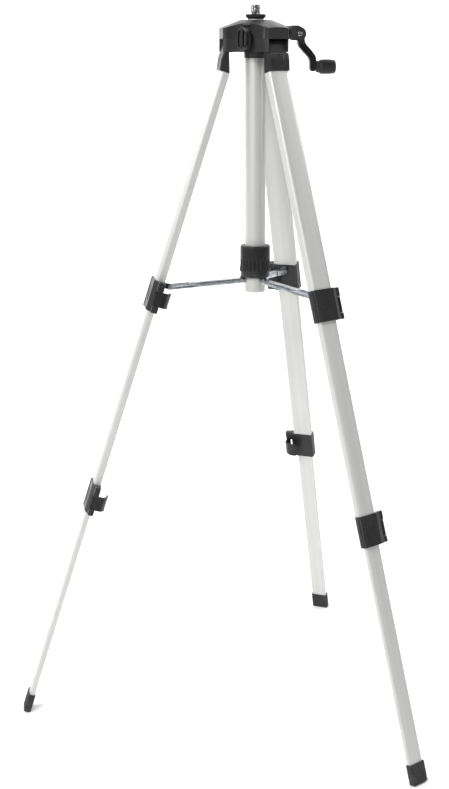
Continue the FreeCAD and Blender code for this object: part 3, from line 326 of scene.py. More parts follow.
class Nodes:
    """Small helper around a material's node tree."""

    def __init__(self, name):
        self.material = bpy.data.materials.new(name)
        self.material.use_nodes = True
        self.tree = self.material.node_tree
        self.shader = self.tree.nodes["Principled BSDF"]

    def add(self, kind, **values):
        node = self.tree.nodes.new(kind)
        for key, value in values.items():
            setattr(node, key, value)
        return node

    def link(self, source, target):
        self.tree.links.new(source, target)

    def surface(self, **values):
        """Set the shader's inputs, each to a socket or a number; an underscore stands for a space."""
        for key, value in values.items():
            target = self.shader.inputs[key.replace("_", " ")]
            if isinstance(value, bpy.types.NodeSocket):
                self.link(value, target)
            else:
                target.default_value = value

    def coordinates(self, scale, turn=(0, 0, 0)):
        """Object coordinates turned into a chosen frame and scaled axis by axis."""
        source = self.add("ShaderNodeTexCoord")
        turned = self.add("ShaderNodeMapping")
        turned.inputs["Rotation"].default_value = turn
        scaled = self.add("ShaderNodeMapping")
        scaled.inputs["Scale"].default_value = scale
        self.link(source.outputs["Object"], turned.inputs["Vector"])
        self.link(turned.outputs["Vector"], scaled.inputs["Vector"])
        return scaled.outputs["Vector"]

    def noise(self, vector, scale, detail=2.0, roughness=0.5):
        node = self.add("ShaderNodeTexNoise")
        node.inputs["Scale"].default_value = scale
        node.inputs["Detail"].default_value = detail
        node.inputs["Roughness"].default_value = roughness
        self.link(vector, node.inputs["Vector"])
        return node.outputs["Fac"]

    def span(self, factor, low, high):
        """A factor from 0 to 1 mapped onto low to high."""
        node = self.add("ShaderNodeMapRange")
        node.inputs["To Min"].default_value = low
        node.inputs["To Max"].default_value = high
        self.link(factor, node.inputs["Value"])
        return node.outputs["Result"]

    def ramp(self, factor, stops):
        node = self.add("ShaderNodeValToRGB")
        fill_ramp(node, stops)
        self.link(factor, node.inputs["Fac"])
        return node.outputs["Color"]

    def mixed(self, factor, first, second, blend="MIX"):
        node = self.add("ShaderNodeMix", data_type="RGBA", blend_type=blend)
        for socket, value in ((0, factor), (6, first), (7, second)):
            if isinstance(value, bpy.types.NodeSocket):
                self.link(value, node.inputs[socket])
            else:
                node.inputs[socket].default_value = value if socket == 0 else (*value, 1)
        return node.outputs[2]

    def relief(self, heights, strength, distance):
        """Bump from one or more height sockets added together."""
        total = heights[0]
        for height in heights[1:]:
            added = self.add("ShaderNodeMath", operation="ADD")
            self.link(total, added.inputs[0])
            self.link(height, added.inputs[1])
            total = added.outputs[0]
        node = self.add("ShaderNodeBump")
        node.inputs["Strength"].default_value = strength
        node.inputs["Distance"].default_value = distance
        self.link(total, node.inputs["Height"])
        self.link(node.outputs["Normal"], self.shader.inputs["Normal"])


def grey(value, tint=(0, 0, 0)):
    return tuple(value + t for t in tint)


EDGE_LIFT = 0.05


def moulded_plastic(name, tone, roughness, grain):
    """Satin black moulding: fine spark-eroded grain, faint mottling and rubbed edges."""
    n = Nodes(name)
    place = n.coordinates((1, 1, 1))
    mottle = n.noise(place, 38.0, 3.0)
    fine = n.noise(place, grain, 2.0, 0.6)
    base = n.ramp(mottle, [(0.3, grey(tone * 0.86, (0, 0, 0.001))), (0.7, grey(tone * 1.12, (0, 0, 0.002)))])
    edges = n.add("ShaderNodeNewGeometry").outputs["Pointiness"]
    worn = n.ramp(edges, [(0.51, (0, 0, 0)), (0.62, (1, 1, 1))])
    n.surface(Base_Color=n.mixed(worn, base, grey(tone + EDGE_LIFT)),
              Roughness=n.span(mottle, roughness - 0.05, roughness + 0.07), Specular_IOR_Level=0.28)
    n.relief([fine], 0.35, 0.00012)
    return n.material


def anodised(name, turn):
    """Satin anodised extrusion with drawing lines along its length; turn brings its length onto z."""
    n = Nodes(name)
    drawn = n.coordinates((900, 900, 6), turn)
    broad = n.coordinates((120, 120, 2.5), turn)
    lines = n.noise(drawn, 1.0, 2.0, 0.6)
    bands = n.noise(broad, 1.0, 2.0)
    cloud = n.noise(n.coordinates((1, 1, 1)), 14.0, 2.0)
    tone = n.ramp(bands, [(0.3, (0.560, 0.568, 0.550)), (0.7, (0.610, 0.615, 0.600))])
    n.surface(Base_Color=n.mixed(n.span(cloud, 0.0, 0.35), tone, (0.64, 0.64, 0.63)),
              Roughness=n.span(lines, 0.46, 0.58), Metallic=0.45)
    n.relief([lines], 0.22, 0.00006)
    return n.material


def zinc_plate():
    """Bright zinc on pressed sheet: patches of slightly different grain and a fine scratch pattern."""
    n = Nodes("zinc_plate")
    place = n.coordinates((1, 1, 1))
    cells = n.add("ShaderNodeTexVoronoi")
    cells.inputs["Scale"].default_value = 420.0
    n.link(place, cells.inputs["Vector"])
    patches = n.noise(place, 160.0, 3.0)
    scratch = n.noise(n.coordinates((700, 700, 2600)), 1.0, 3.0, 0.7)
    tone = n.ramp(patches, [(0.3, (0.34, 0.36, 0.39)), (0.7, (0.62, 0.64, 0.67))])
    n.surface(Base_Color=tone, Roughness=n.span(scratch, 0.20, 0.40), Metallic=1.0)
    n.relief([cells.outputs["Distance"], scratch], 0.25, 0.00008)
    return n.material


def plain_metal(name, tone, roughness):
    """Machined metal: turning marks in the roughness and a little tarnish."""
    n = Nodes(name)
    place = n.coordinates((1, 1, 1))
    tarnish = n.noise(place, 90.0, 3.0)
    marks = n.noise(n.coordinates((600, 600, 2400)), 1.0, 2.0)
    n.surface(Base_Color=n.ramp(tarnish, [(0.3, grey(tone * 0.9)), (0.7, grey(tone, (0, 0.002, 0.008)))]),
              Roughness=n.span(marks, roughness * 0.7, roughness * 1.4), Metallic=1.0)
    n.relief([marks], 0.12, 0.00003)
    return n.material


def rubber():
    """Matt black rubber with a dusty, slightly blotchy surface."""
    n = Nodes("foot_rubber")
    place = n.coordinates((1, 1, 1))
    dust = n.noise(place, 60.0, 5.0, 0.65)
    fine = n.noise(place, 1600.0, 2.0)
    n.surface(Base_Color=n.ramp(dust, [(0.35, (0.020, 0.020, 0.021)), (0.75, (0.050, 0.050, 0.052))]),
              Roughness=n.span(dust, 0.62, 0.82), Specular_IOR_Level=0.35)
    n.relief([fine, dust], 0.4, 0.00015)
    return n.material


def leg_turn(letter):
    """Mapping rotation that brings a leg's length onto z."""
    return leg_frame(letter).to_3x3().normalized().inverted().to_euler("XYZ")


PLASTIC = moulded_plastic("moulded_plastic", 0.021, 0.34, 2200.0)
LEVER_PLASTIC = moulded_plastic("lever_plastic", 0.011, 0.30, 2600.0)
CRANK_PLASTIC = moulded_plastic("crank_plastic", 0.018, 0.32, 2400.0)
GRIP_PLASTIC = moulded_plastic("grip_plastic", 0.014, 0.40, 1500.0)
ZINC = zinc_plate()
CHROME = plain_metal("chrome", 0.55, 0.16)
STEEL = plain_metal("pin_steel", 0.50, 0.30)
RUBBER = rubber()
UPRIGHT_ALUMINIUM = anodised("anodised_column", (0, 0, 0))
LEG_ALUMINIUM = {letter: anodised("anodised_leg_%s" % letter, leg_turn(letter)) for letter in LEGS}


# ------------------------ shared shapes
ALONG_X = Matrix.Rotation(radians(90), 4, "Y")
TOWARDS_MINUS_Y = Matrix.Rotation(radians(90), 4, "X")
TOWARDS_PLUS_Y = Matrix.Rotation(radians(-90), 4, "X")
DOWNWARD = Matrix.Rotation(radians(180), 4, "X")


def at(x, y, z):
    return Matrix.Translation((x, y, z))


def slab(shape, loop, low, high, edge, lay):
    """Plate with softened rims; lay(point, height) gives the place of an outline point."""
    rims = [(1.0, 0.0), (0.42, 0.12), (0.12, 0.42), (0.0, 1.0)]
    levels = [(low + edge * rise, inset) for inset, rise in rims]
    levels += [(high - edge * rise, inset) for inset, rise in reversed(rims)]
    shape.loft([[lay(p, height) for p in shrunk(loop, edge * inset)] for height, inset in levels])


def upright_xz(p, height):
    """Outline in x and z, thickness along y."""
    return (p.x, height, p.y)


def cross_screw(shape, radius, height, turn):
    """Pan head with a cross recess; its base is the turn's origin and it faces the turn's z."""
    arm, blade, depth = radius * 0.56, radius * 0.13, height * 0.7

    def recess(x, y):
        along, aside = max(abs(x), abs(y)), min(abs(x), abs(y))
        return depth * smooth((arm - along) / (radius * 0.14)) * smooth((blade * 2 - aside) / blade)

    rings = []
    for r, z in ((1.0, 0.0), (1.0, 0.45), (0.97, 0.66), (0.9, 0.82)):
        rings.append([(radius * r, height * z)] * 72)
    for r in spread_of(0.84, 0.03, 0.06):
        rings.append([(radius * r, height * (1 - 0.14 * r * r))] * 72)
    made = []
    for row, ring in enumerate(rings):
        spots = []
        for n, (r, z) in enumerate(ring):
            angle = 2 * pi * n / len(ring)
            x, y = r * cos(angle), r * sin(angle)
            spots.append(turn @ Vector((x, y, z - (recess(x, y) if row > 3 else 0))))
        made.append(spots)
    shape.loft(made)


def eyelet(shape, half, turn):
    """Hollow rivet about the turn's z with a rolled head at both ends of a grip from -half to half."""
    head, bore, tip = 2.6, 0.85, half + 0.7
    side = [(bore, tip - 0.45), (bore + 0.18, tip - 0.1), (bore + 0.6, tip), (head - 0.5, tip - 0.08),
            (head - 0.12, tip - 0.28), (head, half + 0.2), (head - 0.08, half), (1.5, half)]
    profile = side + [(r, -z) for r, z in reversed(side)]
    shape.lathe(profile, 40, True, turn=turn)


def fan(y, z, top, low, heads, feet):
    """Depth from 0 to 1 of finger grooves that run from the heads at the top to the feet below."""
    rise = (z - low) / (top - low)
    half = 0.7 + 0.55 * rise
    ends = smooth((rise + 0.04) / 0.12) * smooth((1.02 - rise) / 0.08)
    lines = [foot + (head - foot) * rise for head, foot in zip(heads, feet)]
    return max(bump(y, line, half) for line in lines) * ends


# ------------------------ head
def canopy():
    soften("canopy_cover", PLASTIC, 0.7, 3)
    soften("leg_spider", PLASTIC, 0.5, 2)
    soften("leg_hinge_pins", STEEL, 0.3, 2)
    shape = Shape(knob_frame())
    level = joint("column_lock_turn")["pos_m"][2] / MM
    top, low, wide = -7.95 - level, -15.6 - level, 5.2
    rings = []
    for r, height, half in ((20.0, top - 1.6, wide), (23.0, top - 0.3, wide), (26.0, top - 1.1, wide),
                            (33.0, top - 3.6, wide), (38.5, top - 5.9, wide), (40.6, top - 7.4, wide - 0.6)):
        section = rounded([(-half, low), (half, low), (half - 1.0, height), (1.0 - half, height)], 0.9, 4)
        rings.append([(p.x, p.y, r) for p in section])
    shape.loft(rings)
    shape.piece("knob_ridge", PLASTIC, "head")


def canopy_screws():
    shape = Shape(WORLD_MM)
    circle, base, shank = 30.0, -45.8, 1.45
    for azimuth in (10, 130, 250):
        x, y = (circle * f(radians(azimuth)) for f in (cos, sin))
        cross_screw(shape, 2.8, 3.0, at(x, y, base) @ DOWNWARD)
        shape.lathe([(shank, base - 0.2), (shank, -24.2), (0.4, -24.0)], 20, turn=at(x, y, 0))
    shape.piece("canopy_screw_heads", STEEL, "head", ["canopy_screws"])


def guide_tube():
    """Satin tube with a key groove and a collar under the head."""
    low, high = local_box("guide_tube", WORLD_MM)
    outer, inner, key_depth, key_angle = high.x, high.x - 1.4, 0.6, radians(294)

    def keyed(angle, r, z):
        turn = abs((angle - key_angle + pi) % (2 * pi) - pi) * outer
        return r - key_depth * smooth((1.15 - turn) / 0.35) if r > inner + 0.9 else r

    rim = 0.35
    profile = [(inner, low.z + rim), (inner + rim, low.z), (outer - rim, low.z), (outer, low.z + rim),
               (outer, high.z - rim), (outer - rim, high.z), (inner + rim, high.z), (inner, high.z - rim)]
    shape = Shape(WORLD_MM)
    shape.lathe(profile, 360, True, keyed)
    shape.piece("guide_tube_satin", UPRIGHT_ALUMINIUM, "head", ["guide_tube"])

    low, high = local_box("column_collar", WORLD_MM)
    wide, bore = high.x, outer + 0.02
    profile = [(bore, low.z + 0.3), (bore + 0.3, low.z), (wide - 0.7, low.z), (wide - 0.35, low.z + 0.3),
               (wide - 0.3, low.z + 1.6), (wide, low.z + 2.0), (wide, high.z - 0.1), (bore, high.z - 0.1)]
    shape = Shape(WORLD_MM)
    shape.lathe(profile, 120, True)
    shape.piece("collar_ring", PLASTIC, "head", ["column_collar"])


# ------------------------ column
def stud():
    """Instrument stud: 60 degree thread of eleven turns to the inch over an undercut."""
    low, high = local_box("tripod_stud", WORLD_MM)
    major, pitch, undercut = high.x, 25.4 / 11, 2.3
    minor = major - 0.6 * pitch

    def thread(angle, r, z):
        if z < undercut or r < minor:
            return r
        phase = (z / pitch - angle / (2 * pi)) % 1.0
        flank = min(max(abs(phase - 0.5) * 2 - 0.12, 0.0) / 0.76, 1.0)
        start = smooth((z - undercut) / 0.6)
        return min(r, minor + (major - minor) * ((1 - flank) * start))

    sunk = -0.45
    rows = [(minor - 0.2, sunk), (minor - 0.2, undercut - 0.3)]
    rows += [(major, z) for z in spread_of(undercut, high.z - 1.1, pitch / 14)]
    rows += [(major - t * 1.0, high.z - 1.1 + t * 0.9) for t in (0.3, 0.6, 1.0)]
    rows += [(minor - 0.6, high.z - 0.02), (minor - 2.2, high.z), (0.2, high.z)]
    shape = Shape(WORLD_MM)
    shape.lathe([(3.9, low.z), (3.9, sunk)] + rows, 120, shape=thread)
    shape.piece("stud_thread", CHROME, "column", ["tripod_stud"], 30)


def seat_disc():
    low, high = local_box("seat_disc", WORLD_MM)
    rim, teeth, depth = high.x, 72, 0.42

    def knurl(angle, r, z):
        if r < rim - 0.6:
            return r
        band = smooth((z - (low.z + 3.0)) / 0.5) * smooth((high.z - 0.4 - z) / 0.4)
        return r - depth * band * (0.5 - 0.5 * cos(angle * teeth))

    profile = [(4.0, low.z), (rim - 3.6, low.z), (rim - 3.1, low.z + 0.25), (rim - 0.5, low.z + 2.75),
               (rim - 0.1, low.z + 3.1), (rim, low.z + 3.5), (rim, low.z + 4.2), (rim, high.z - 1.1),
               (rim, high.z - 0.6), (rim - 0.2, high.z - 0.25), (rim - 0.7, high.z), (rim - 2.4, high.z),
               (rim - 2.8, high.z - 0.35), (10.1, high.z - 0.35), (9.7, high.z), (9.2, high.z),
               (9.06, high.z - 0.12), (9.06, high.z - 0.48), (4.0, high.z - 0.48)]
    shape = Shape(WORLD_MM)
    shape.lathe(profile, teeth * 8, True, knurl)
    shape.piece("seat_disc_knurled", GRIP_PLASTIC, "column", ["seat_disc"])


def column():
    soften("center_column", UPRIGHT_ALUMINIUM, 0.25, 2)
    soften("column_plug", UPRIGHT_ALUMINIUM, 0.4, 2)
    soften("column_rack", GRIP_PLASTIC, 0.12, 1)
    soften("column_foot_bush", PLASTIC, 0.3, 2)


# ------------------------ crank
# the arm's two edges from the hub to the handle, in x and z
ARM_LEFT = [(-1.4, -9.6), (-1.4, -10.8), (-1.2, -14.2), (0.6, -18.4), (4.4, -22.8), (10.2, -29.0),
            (14.2, -33.4), (16.2, -37.6), (16.6, -41.5), (16.6, -46.0), (16.9, -49.6), (18.4, -51.9),
            (19.6, -52.45)]
ARM_RIGHT = [(8.7, -9.6), (8.9, -10.8), (10.2, -14.0), (13.6, -17.7), (17.2, -21.6), (21.4, -26.5),
             (24.2, -30.4), (25.5, -34.8), (25.8, -39.5), (25.8, -46.0), (25.5, -49.8), (24.2, -51.9),
             (23.0, -52.45)]


def curve_through(points, t):
    """Point on a smooth curve through all the given points, t from 0 to 1."""
    spots = [Vector(p) for p in points]
    place = t * (len(spots) - 1)
    n = min(int(place), len(spots) - 2)
    u = place - n
    before = spots[max(n - 1, 0)]
    after = spots[min(n + 2, len(spots) - 1)]
    a, b = spots[n], spots[n + 1]
    return 0.5 * (2 * a + (b - before) * u + (2 * before - 5 * a + 4 * b - after) * u ** 2
                  + (3 * a - before - 3 * b + after) * u ** 3)


def crank_arm():
    """S-shaped arm: hollowed faces with two ribs between raised rims."""
    shape = Shape(crank_frame())
    half_thick, hollow, rows, across = 5.5, 2.1, 90, 36
    rings = []
    for row in range(rows + 1):
        t = row / rows
        left, right = curve_through(ARM_LEFT, t), curve_through(ARM_RIGHT, t)
        fade = smooth((t - 0.1) / 0.07) * smooth((0.86 - t) / 0.07)
        end = 0.8 * (1 - smooth(min(t, 1 - t) / 0.03))
        face = []
        for k in range(across + 1):
            n = -1 + 2 * k / across
            rim = 1 - smooth((0.74 - abs(n)) / 0.12)
            ribs = bump(abs(n), 0.27, 0.17)
            depth = hollow * fade * (1 - max(rim, ribs * 0.85))
            corner = 1.0 * (1 - sqrt(max(0.0, 1 - smooth((abs(n) - 0.86) / 0.14) ** 2)))
            spot = left.lerp(right, (n + 1) / 2)
            face.append((spot.x, half_thick - depth - corner - end, spot.y))
        rings.append(face + [(x, -y, z) for x, y, z in reversed(face)])
    shape.loft(rings)
    tongue = arc(8.2, range(-20, 201, 10))
    tongue += [(-7.0, -6.0), (-2.2, -9.0), (-1.6, -13.0), (8.6, -13.0), (8.5, -8.0)]
    slab(shape, [Vector(p) for p in tongue], -3.95, 3.95, 0.6, upright_xz)
    shape.lathe([(4.4, 22.0), (4.6, 25.0), (4.3, 25.7), (2.9, 25.78)], 48, turn=at(0, 0, -46.0) @ ALONG_X)
    shape.piece("crank_arm_ribbed", CRANK_PLASTIC, "crank_arm", ["crank_arm"])
    soften("handle_pin", STEEL, 0.4, 2)


def crank_handle():
    """Barrel grip: a neck at the arm, a long waist and a ringed end with the pin's recess."""
    low, high = local_box("crank_handle", crank_frame())
    x0, x1, bore, wide = low.x, high.x, 3.05, (high.z - low.z) / 2
    profile = [(bore, x0), (7.3, x0), (8.0, x0 + 0.35), (8.3, x0 + 1.2), (8.3, x0 + 4.0), (8.6, x0 + 4.7),
               (9.4, x0 + 5.2), (9.9, x0 + 5.9), (10.2, x0 + 7.6), (10.4, x0 + 10.5), (wide, x0 + 14.5),
               (10.4, x0 + 19.0), (10.2, x0 + 22.4), (10.0, x0 + 23.4), (9.5, x0 + 23.7), (9.5, x0 + 24.4),
               (9.95, x0 + 24.7), (9.8, x1 - 2.2), (9.3, x1 - 1.0), (8.4, x1 - 0.3), (7.4, x1), (6.0, x1),
               (5.4, x1 - 0.5), (5.4, x1 - 5.8), (bore, x1 - 5.8)]
    axis_z = (high.z + low.z) / 2
    shape = Shape(crank_frame())
    shape.lathe(profile, 128, True, turn=at(0, 0, axis_z) @ ALONG_X)
    shape.piece("crank_grip", GRIP_PLASTIC, "crank_handle", ["crank_handle"])


def crank():
    soften("crank_hub", CRANK_PLASTIC, 0.9, 3)
    soften("crank_shaft", STEEL, 0.3, 2)
    soften("pinion_gear", STEEL, 0.08, 1)
    shape = Shape(crank_frame())
    half = 8.5
    cross_screw(shape, 3.6, 1.6, at(0, -half, 0) @ TOWARDS_MINUS_Y)
    shape.lathe([(1.95, -half), (1.95, half)], 32, turn=TOWARDS_PLUS_Y)
    slab(shape, rounded(arc(3.4, range(15, 375, 60)), 0.3, 3), half, half + 1.6, 0.25, upright_xz)
    shape.piece("crank_screw", CHROME, "crank", ["crank_hinge_screw"])
    crank_arm()
    crank_handle()


# ------------------------ column lock
def lock_knob():
    """Oval wing knob: a wide oval foot, then a slimmer wing whose face has hollows beside a tall rib."""
    shape = Shape(knob_frame())
    foot_w, foot_h, half_w, half_h, segments = 9.1, 15.1, 7.35, 15.3, 128

    def oval(wide, tall, z, grooved=False):
        ring = []
        for n in range(segments):
            angle = 2 * pi * n / segments
            c, s = cos(angle), sin(angle)
            x = wide * copysign(abs(c) ** 0.92, c)
            y = tall * copysign(abs(s) ** 1.12, s)
            if grooved:
                grip = 0.5 * bump(abs(x), wide, 1.6) * (0.5 - 0.5 * cos(y * 2.6))
                x -= copysign(grip, x)
            ring.append((x, y, z))
        return ring

    def dished(t):
        ring = []
        for x, y, _ in oval(half_w * 0.9 * t, half_h * 0.955 * t, 0):
            side = smooth((abs(x) - 1.2) / 1.5) * smooth((5.9 - abs(x)) / 1.8)
            hollow = 3.4 * side * (1 - smooth((abs(y) - 8.0) / 4.5))
            flute = 0.35 * side * (0.5 - 0.5 * cos(y * 2.4))
            ring.append((x, y, 57.9 - hollow - flute * (1 - smooth((abs(y) - 8) / 3))))
        return ring

    rings = [oval(6, 6, 42.0), oval(6, 6, 42.45)]
    rings += [oval(foot_w - inset, foot_h - inset, z) for inset, z in
              ((1.6, 42.5), (0.8, 42.7), (0.25, 43.2), (0.0, 44.0), (0.0, 46.4), (0.3, 47.2), (0.9, 47.7))]
    rings += [oval(half_w + 0.3, half_h - 0.6, 47.85), oval(half_w - 0.1, half_h - 0.2, 48.3)]
    rings += [oval(half_w, half_h, z, True) for z in (48.8, 49.4, 50.4, 52.0, 53.6, 55.2, 56.2)]
    rings += [oval(half_w * w, half_h * h, z) for w, h, z in
              ((0.985, 0.99, 56.9), (0.95, 0.975, 57.5), (0.9, 0.955, 57.85))]
    rings += [dished(1 - step / 18.5) for step in range(1, 19)]
    shape.loft(rings)
    shape.piece("lock_knob_wing", GRIP_PLASTIC, "lock_knob", ["lock_knob"])
    soften("lock_screw", STEEL, 0.3, 2)


# ------------------------ brace hub
def hub_nut():
    """Knurled nut: plain grained top, upright flutes below and a flared foot."""
    low, high = local_box("hub_nut", WORLD_MM)
    wide, bore, count = 22.5, 15.5, 22
    foot, top = low.z, high.z

    def fluted(angle, r, z):
        if r < 20.5:
            return r
        reach = smooth((z - foot - 1.4) / 1.2) * smooth((foot + 20.5 - z) / 2.4)
        groove = (0.5 + 0.5 * cos(angle * count)) ** 2.2
        return r - 1.15 * reach * groove

    outer = [(wide - 0.4, foot), (wide + 0.3, foot + 0.4), (wide + 0.6, foot + 1.2), (wide + 0.6, foot + 2.4),
             (wide + 0.45, foot + 4.2), (wide + 0.1, foot + 6.4), (wide - 0.25, foot + 8.6)]
    outer += [(wide - 0.4, z) for z in spread_of(foot + 10, foot + 21, 0.8)]
    outer += [(wide - 0.4, top - 4.0), (wide - 0.6, top - 1.9), (wide - 1.0, top - 0.8),
              (wide - 1.7, top - 0.15), (wide - 2.6, top), (bore + 1.6, top), (bore + 0.6, top - 0.3),
              (bore, top - 1.0)]
    inner = [(bore, foot + 24.4), (18.4, foot + 24.4), (18.4, foot)]
    shape = Shape(WORLD_MM)
    shape.lathe(outer + inner, count * 14, True, fluted)
    shape.piece("hub_nut_fluted", GRIP_PLASTIC, "hub_nut", ["hub_nut"])


def brace_hub():
    soften("brace_hub", PLASTIC, 0.45, 2)
    shape = Shape(WORLD_MM)
    for letter in LEGS:
        turn = WORLD_MM.inverted() @ brace_frame(letter) @ TOWARDS_PLUS_Y
        eyelet(shape, 5.0, turn)
    shape.piece("hub_eyelets", ZINC, "brace_hub", ["hub_rivets"])


# ------------------------ braces
SHEET = 0.8
BRACE_HALF = 4.7
BRACE_LEN = 108.879


def brace(letter):
    """Pressed channel with slanting flutes in its web, open below and rounded at the hub."""
    node = "brace_%s" % letter
    matrix = brace_frame(letter)
    low, high = local_box(node, matrix)
    half, gauge, top, base, far = BRACE_HALF, SHEET, high.z, low.z, high.x
    shape = Shape(matrix)
    for side in (-1, 1):
        plate = [(far, base), (far, top - gauge), (5.4, top - gauge), (4.2, top), (2.6, 3.3)]
        plate += arc(3.2, range(75, 286, 15)) + [(2.6, base)]
        y0, y1 = sorted((side * (half - gauge), side * half))
        slab(shape, spaced([Vector(p) for p in plate], 12), y0, y1, 0.12, upright_xz)
    rings = []
    for x in spread_of(5.6, far, 0.55):
        fade = smooth((x - 8.0) / 2.0) * smooth((far - 2.0 - x) / 2.0)
        face = []
        for y in spread_of(-half + gauge, half - gauge, 0.6):
            slant = 0.5 + 0.5 * cos(2 * pi * (x + y * 1.25) / 8.4)
            sink = 0.62 * slant ** 1.4 * fade * smooth((half - 0.9 - abs(y)) / 0.9)
            face.append((y, top - sink))
        bend = [(half - gauge * (1 - sin(a)), top - gauge * (1 - cos(a)))
                for a in (radians(d) for d in (25, 50, 75, 90))]
        edge = bend + [(half, top - gauge - 0.4), (half - gauge, top - gauge - 0.4)]
        under = [(y, z - gauge) for y, z in reversed(face)]
        rings.append([(x, y, z) for y, z in face + edge + under + [(-y, z) for y, z in reversed(edge)]])
    shape.loft(rings)
    shape.piece(node + "_pressed", ZINC, node, [node], 30)


def brace_fork(letter):
    """Two side plates with a raised bead, held on the leg's lug by a hollow rivet."""
    node = "brace_%s_fork" % letter
    shape = Shape(brace_frame(letter))
    length, inner, r = BRACE_LEN, 5.05, 3.6
    start = length - 40
    for side in (-1, 1):
        rings = []
        for x in spread_of(start, length + r - 0.02, 0.5):
            reach = sqrt(max(r * r - (x - length) ** 2, 0.02)) if x > length else r
            low, high = -min(reach, 3.3 if x < length - 2 else r), reach
            bead = smooth((x - start - 3.0) / 2.0) * smooth((length - 7.0 - x) / 2.0)
            face = []
            for k in range(17):
                z = low + (high - low) * k / 16
                groove = 0.35 * bead * bump(z, 0.15, 1.7)
                face.append((z, groove))
            lay = [(x, side * (inner + SHEET - groove), z) for z, groove in face]
            lay += [(x, side * inner, z) for z, _ in reversed(face)]
            rings.append(lay)
        shape.loft(rings)
    eyelet(shape, inner + SHEET, at(length, 0, 0) @ TOWARDS_PLUS_Y)
    shape.piece(node + "_plates", ZINC, node, [node], 30)


# ------------------------ leg tubes
TUBES = {"upper": (36.0, 14.4, 6.0), "middle": (31.4, 11.2, 5.0), "lower": (25.7, 8.0, 3.6)}
WALL = 1.2


def leg_tube(letter, name):
    """D-shaped extrusion: a crowned outer face with two fine flutes, a flat inner face, open ends."""
    node = "leg_%s_%s_tube" % (letter, name)
    matrix = leg_frame(letter)
    low, high = local_box(node, matrix)
    width, depth, crown = TUBES[name]
    sag = depth * 0.07

    def section(inset, z):
        half_d, half_w = depth / 2 - inset, width / 2 - inset
        back, front = max(2.0 - inset, 0.5), crown - inset * 0.7
        loop = rounded(block(half_d, half_w), [back, front, front, back], 8, [2, 60, 2, 40])
        ring = []
        for p in loop:
            crowned = sag * (p.y / half_w) ** 2 * smooth(p.x / half_d) if p.x > 0 else 0.0
            flute = 0.0
            if inset == 0:
                flute = 0.28 * bump(abs(p.y), half_w - 6.2, 0.8) * (p.x > half_d * 0.7)
                flute -= 0.2 * bump(abs(p.y), half_w - 4.4, 0.6) * (p.x < -half_d * 0.9)
            ring.append((p.x - crowned - flute, p.y, z))
        return ring

    rim = 0.2
    rings = [section(rim, low.z), section(0, low.z + rim), section(0, high.z - rim), section(rim, high.z),
             section(WALL, high.z), section(WALL, low.z)]
    shape = Shape(matrix)
    shape.loft(rings, True)
    shape.piece(node + "_drawn", LEG_ALUMINIUM[letter], body_of(node), [node], 30)


# ------------------------ leg brackets
def leg_bracket(letter):
    """Hinge knuckle in the head's slot, a ledge under the skirt and a slim wedge down to the tube."""
    node = "leg_%s_bracket" % letter
    foot, face, knuckle_face, slim = -35.0, 10.9, 10.5, 17.4

    def ring(inner, outer, half, grow=0.0, carved=False):
        """Rounded outline between an inner and an outer (x, z) point."""
        x0, x1 = inner[0] - grow, outer[0] + grow
        y1 = half + grow
        corners = [(x0, -y1), (x1, -y1), (x1, y1), (x0, y1)]
        made = []
        for p in rounded(corners, [1.2, 3.2, 3.2, 1.2], 6, [10, 110, 10, 20]):
            share = (p.x - x0) / (x1 - x0)
            z = inner[1] + (outer[1] - inner[1]) * share
            x = p.x
            if carved and share > 0.97:
                x -= 1.8 * fan(p.y, z, -11.8, -29.5, (-13.0, -6.2, 0.5, 7.5), (-1.0, 1.5, 3.8, 6.2))
            made.append((x, p.y, z))
        return made

    def wedge(t, grow=0.0, carved=True):
        """Section from the foot (t = 0) up to the ledge (t = 1)."""
        z_in, z_out = foot + 27.4 * t, foot + 24.1 * t
        outer = face - 2.6 * max(0.0, -20.0 - z_out) / 15.0
        return ring((10.0 * t - 7.0, z_in), (outer, z_out), 18.3 + 2.0 * t, grow, carved)

    def knuckle(t, grow=0.0):
        """Section from the ledge up to the rounded top."""
        z_in, z_out = -4.2 + 14.4 * t, -10.6 + 20.8 * t
        inner = -6.5 + 3.5 * max(0.0, z_in - 6.0) / 4.2
        outer = 3.0 + 7.5 * sqrt(max(0.0, 1 - (max(z_out, 0.0) / 10.25) ** 2))
        return ring((inner, z_in), (outer, z_out), slim, grow)

    rings = [wedge(0.0, -0.7, False), wedge(0.008, -0.25, False), wedge(0.024, 0.0, False)]
    rings += [wedge(t) for t in spread_of(0.045, 0.965, 0.022)]
    rings += [wedge(0.985, -0.15, False), wedge(1.0, -0.6, False)]
    rings += [ring((3.0, -7.6), (knuckle_face, -10.75), slim + 0.5),
              ring((2.6, -7.4), (knuckle_face, -10.7), slim)]
    rings += [knuckle(t) for t in spread_of(0.0, 0.97, 0.05)] + [knuckle(1.0, -0.5)]
    shape = Shape(leg_frame(letter))
    shape.loft(rings)
    half_d, half_w = TUBES["upper"][1] / 2 - WALL - 0.1, TUBES["upper"][0] / 2 - WALL - 0.1
    core = rounded(block(half_d, half_w), [1.0, 5.0, 5.0, 1.0], 6)
    slab(shape, core, -57.0, foot + 0.1, 0.5, lambda p, height: (p.x, p.y, height))
    shape.piece(node + "_moulded", PLASTIC, "leg_%s" % letter, [node], 34)


# ------------------------ leg locks
EAR = 13.0
WINDOW_LEN = 23.6
PIN_OUT = 12.0
EAR_OUT = 15.4
TUBE_SEAT = 24.0
LUG = (-18.9, -353.1)
LUG_R = 4.0


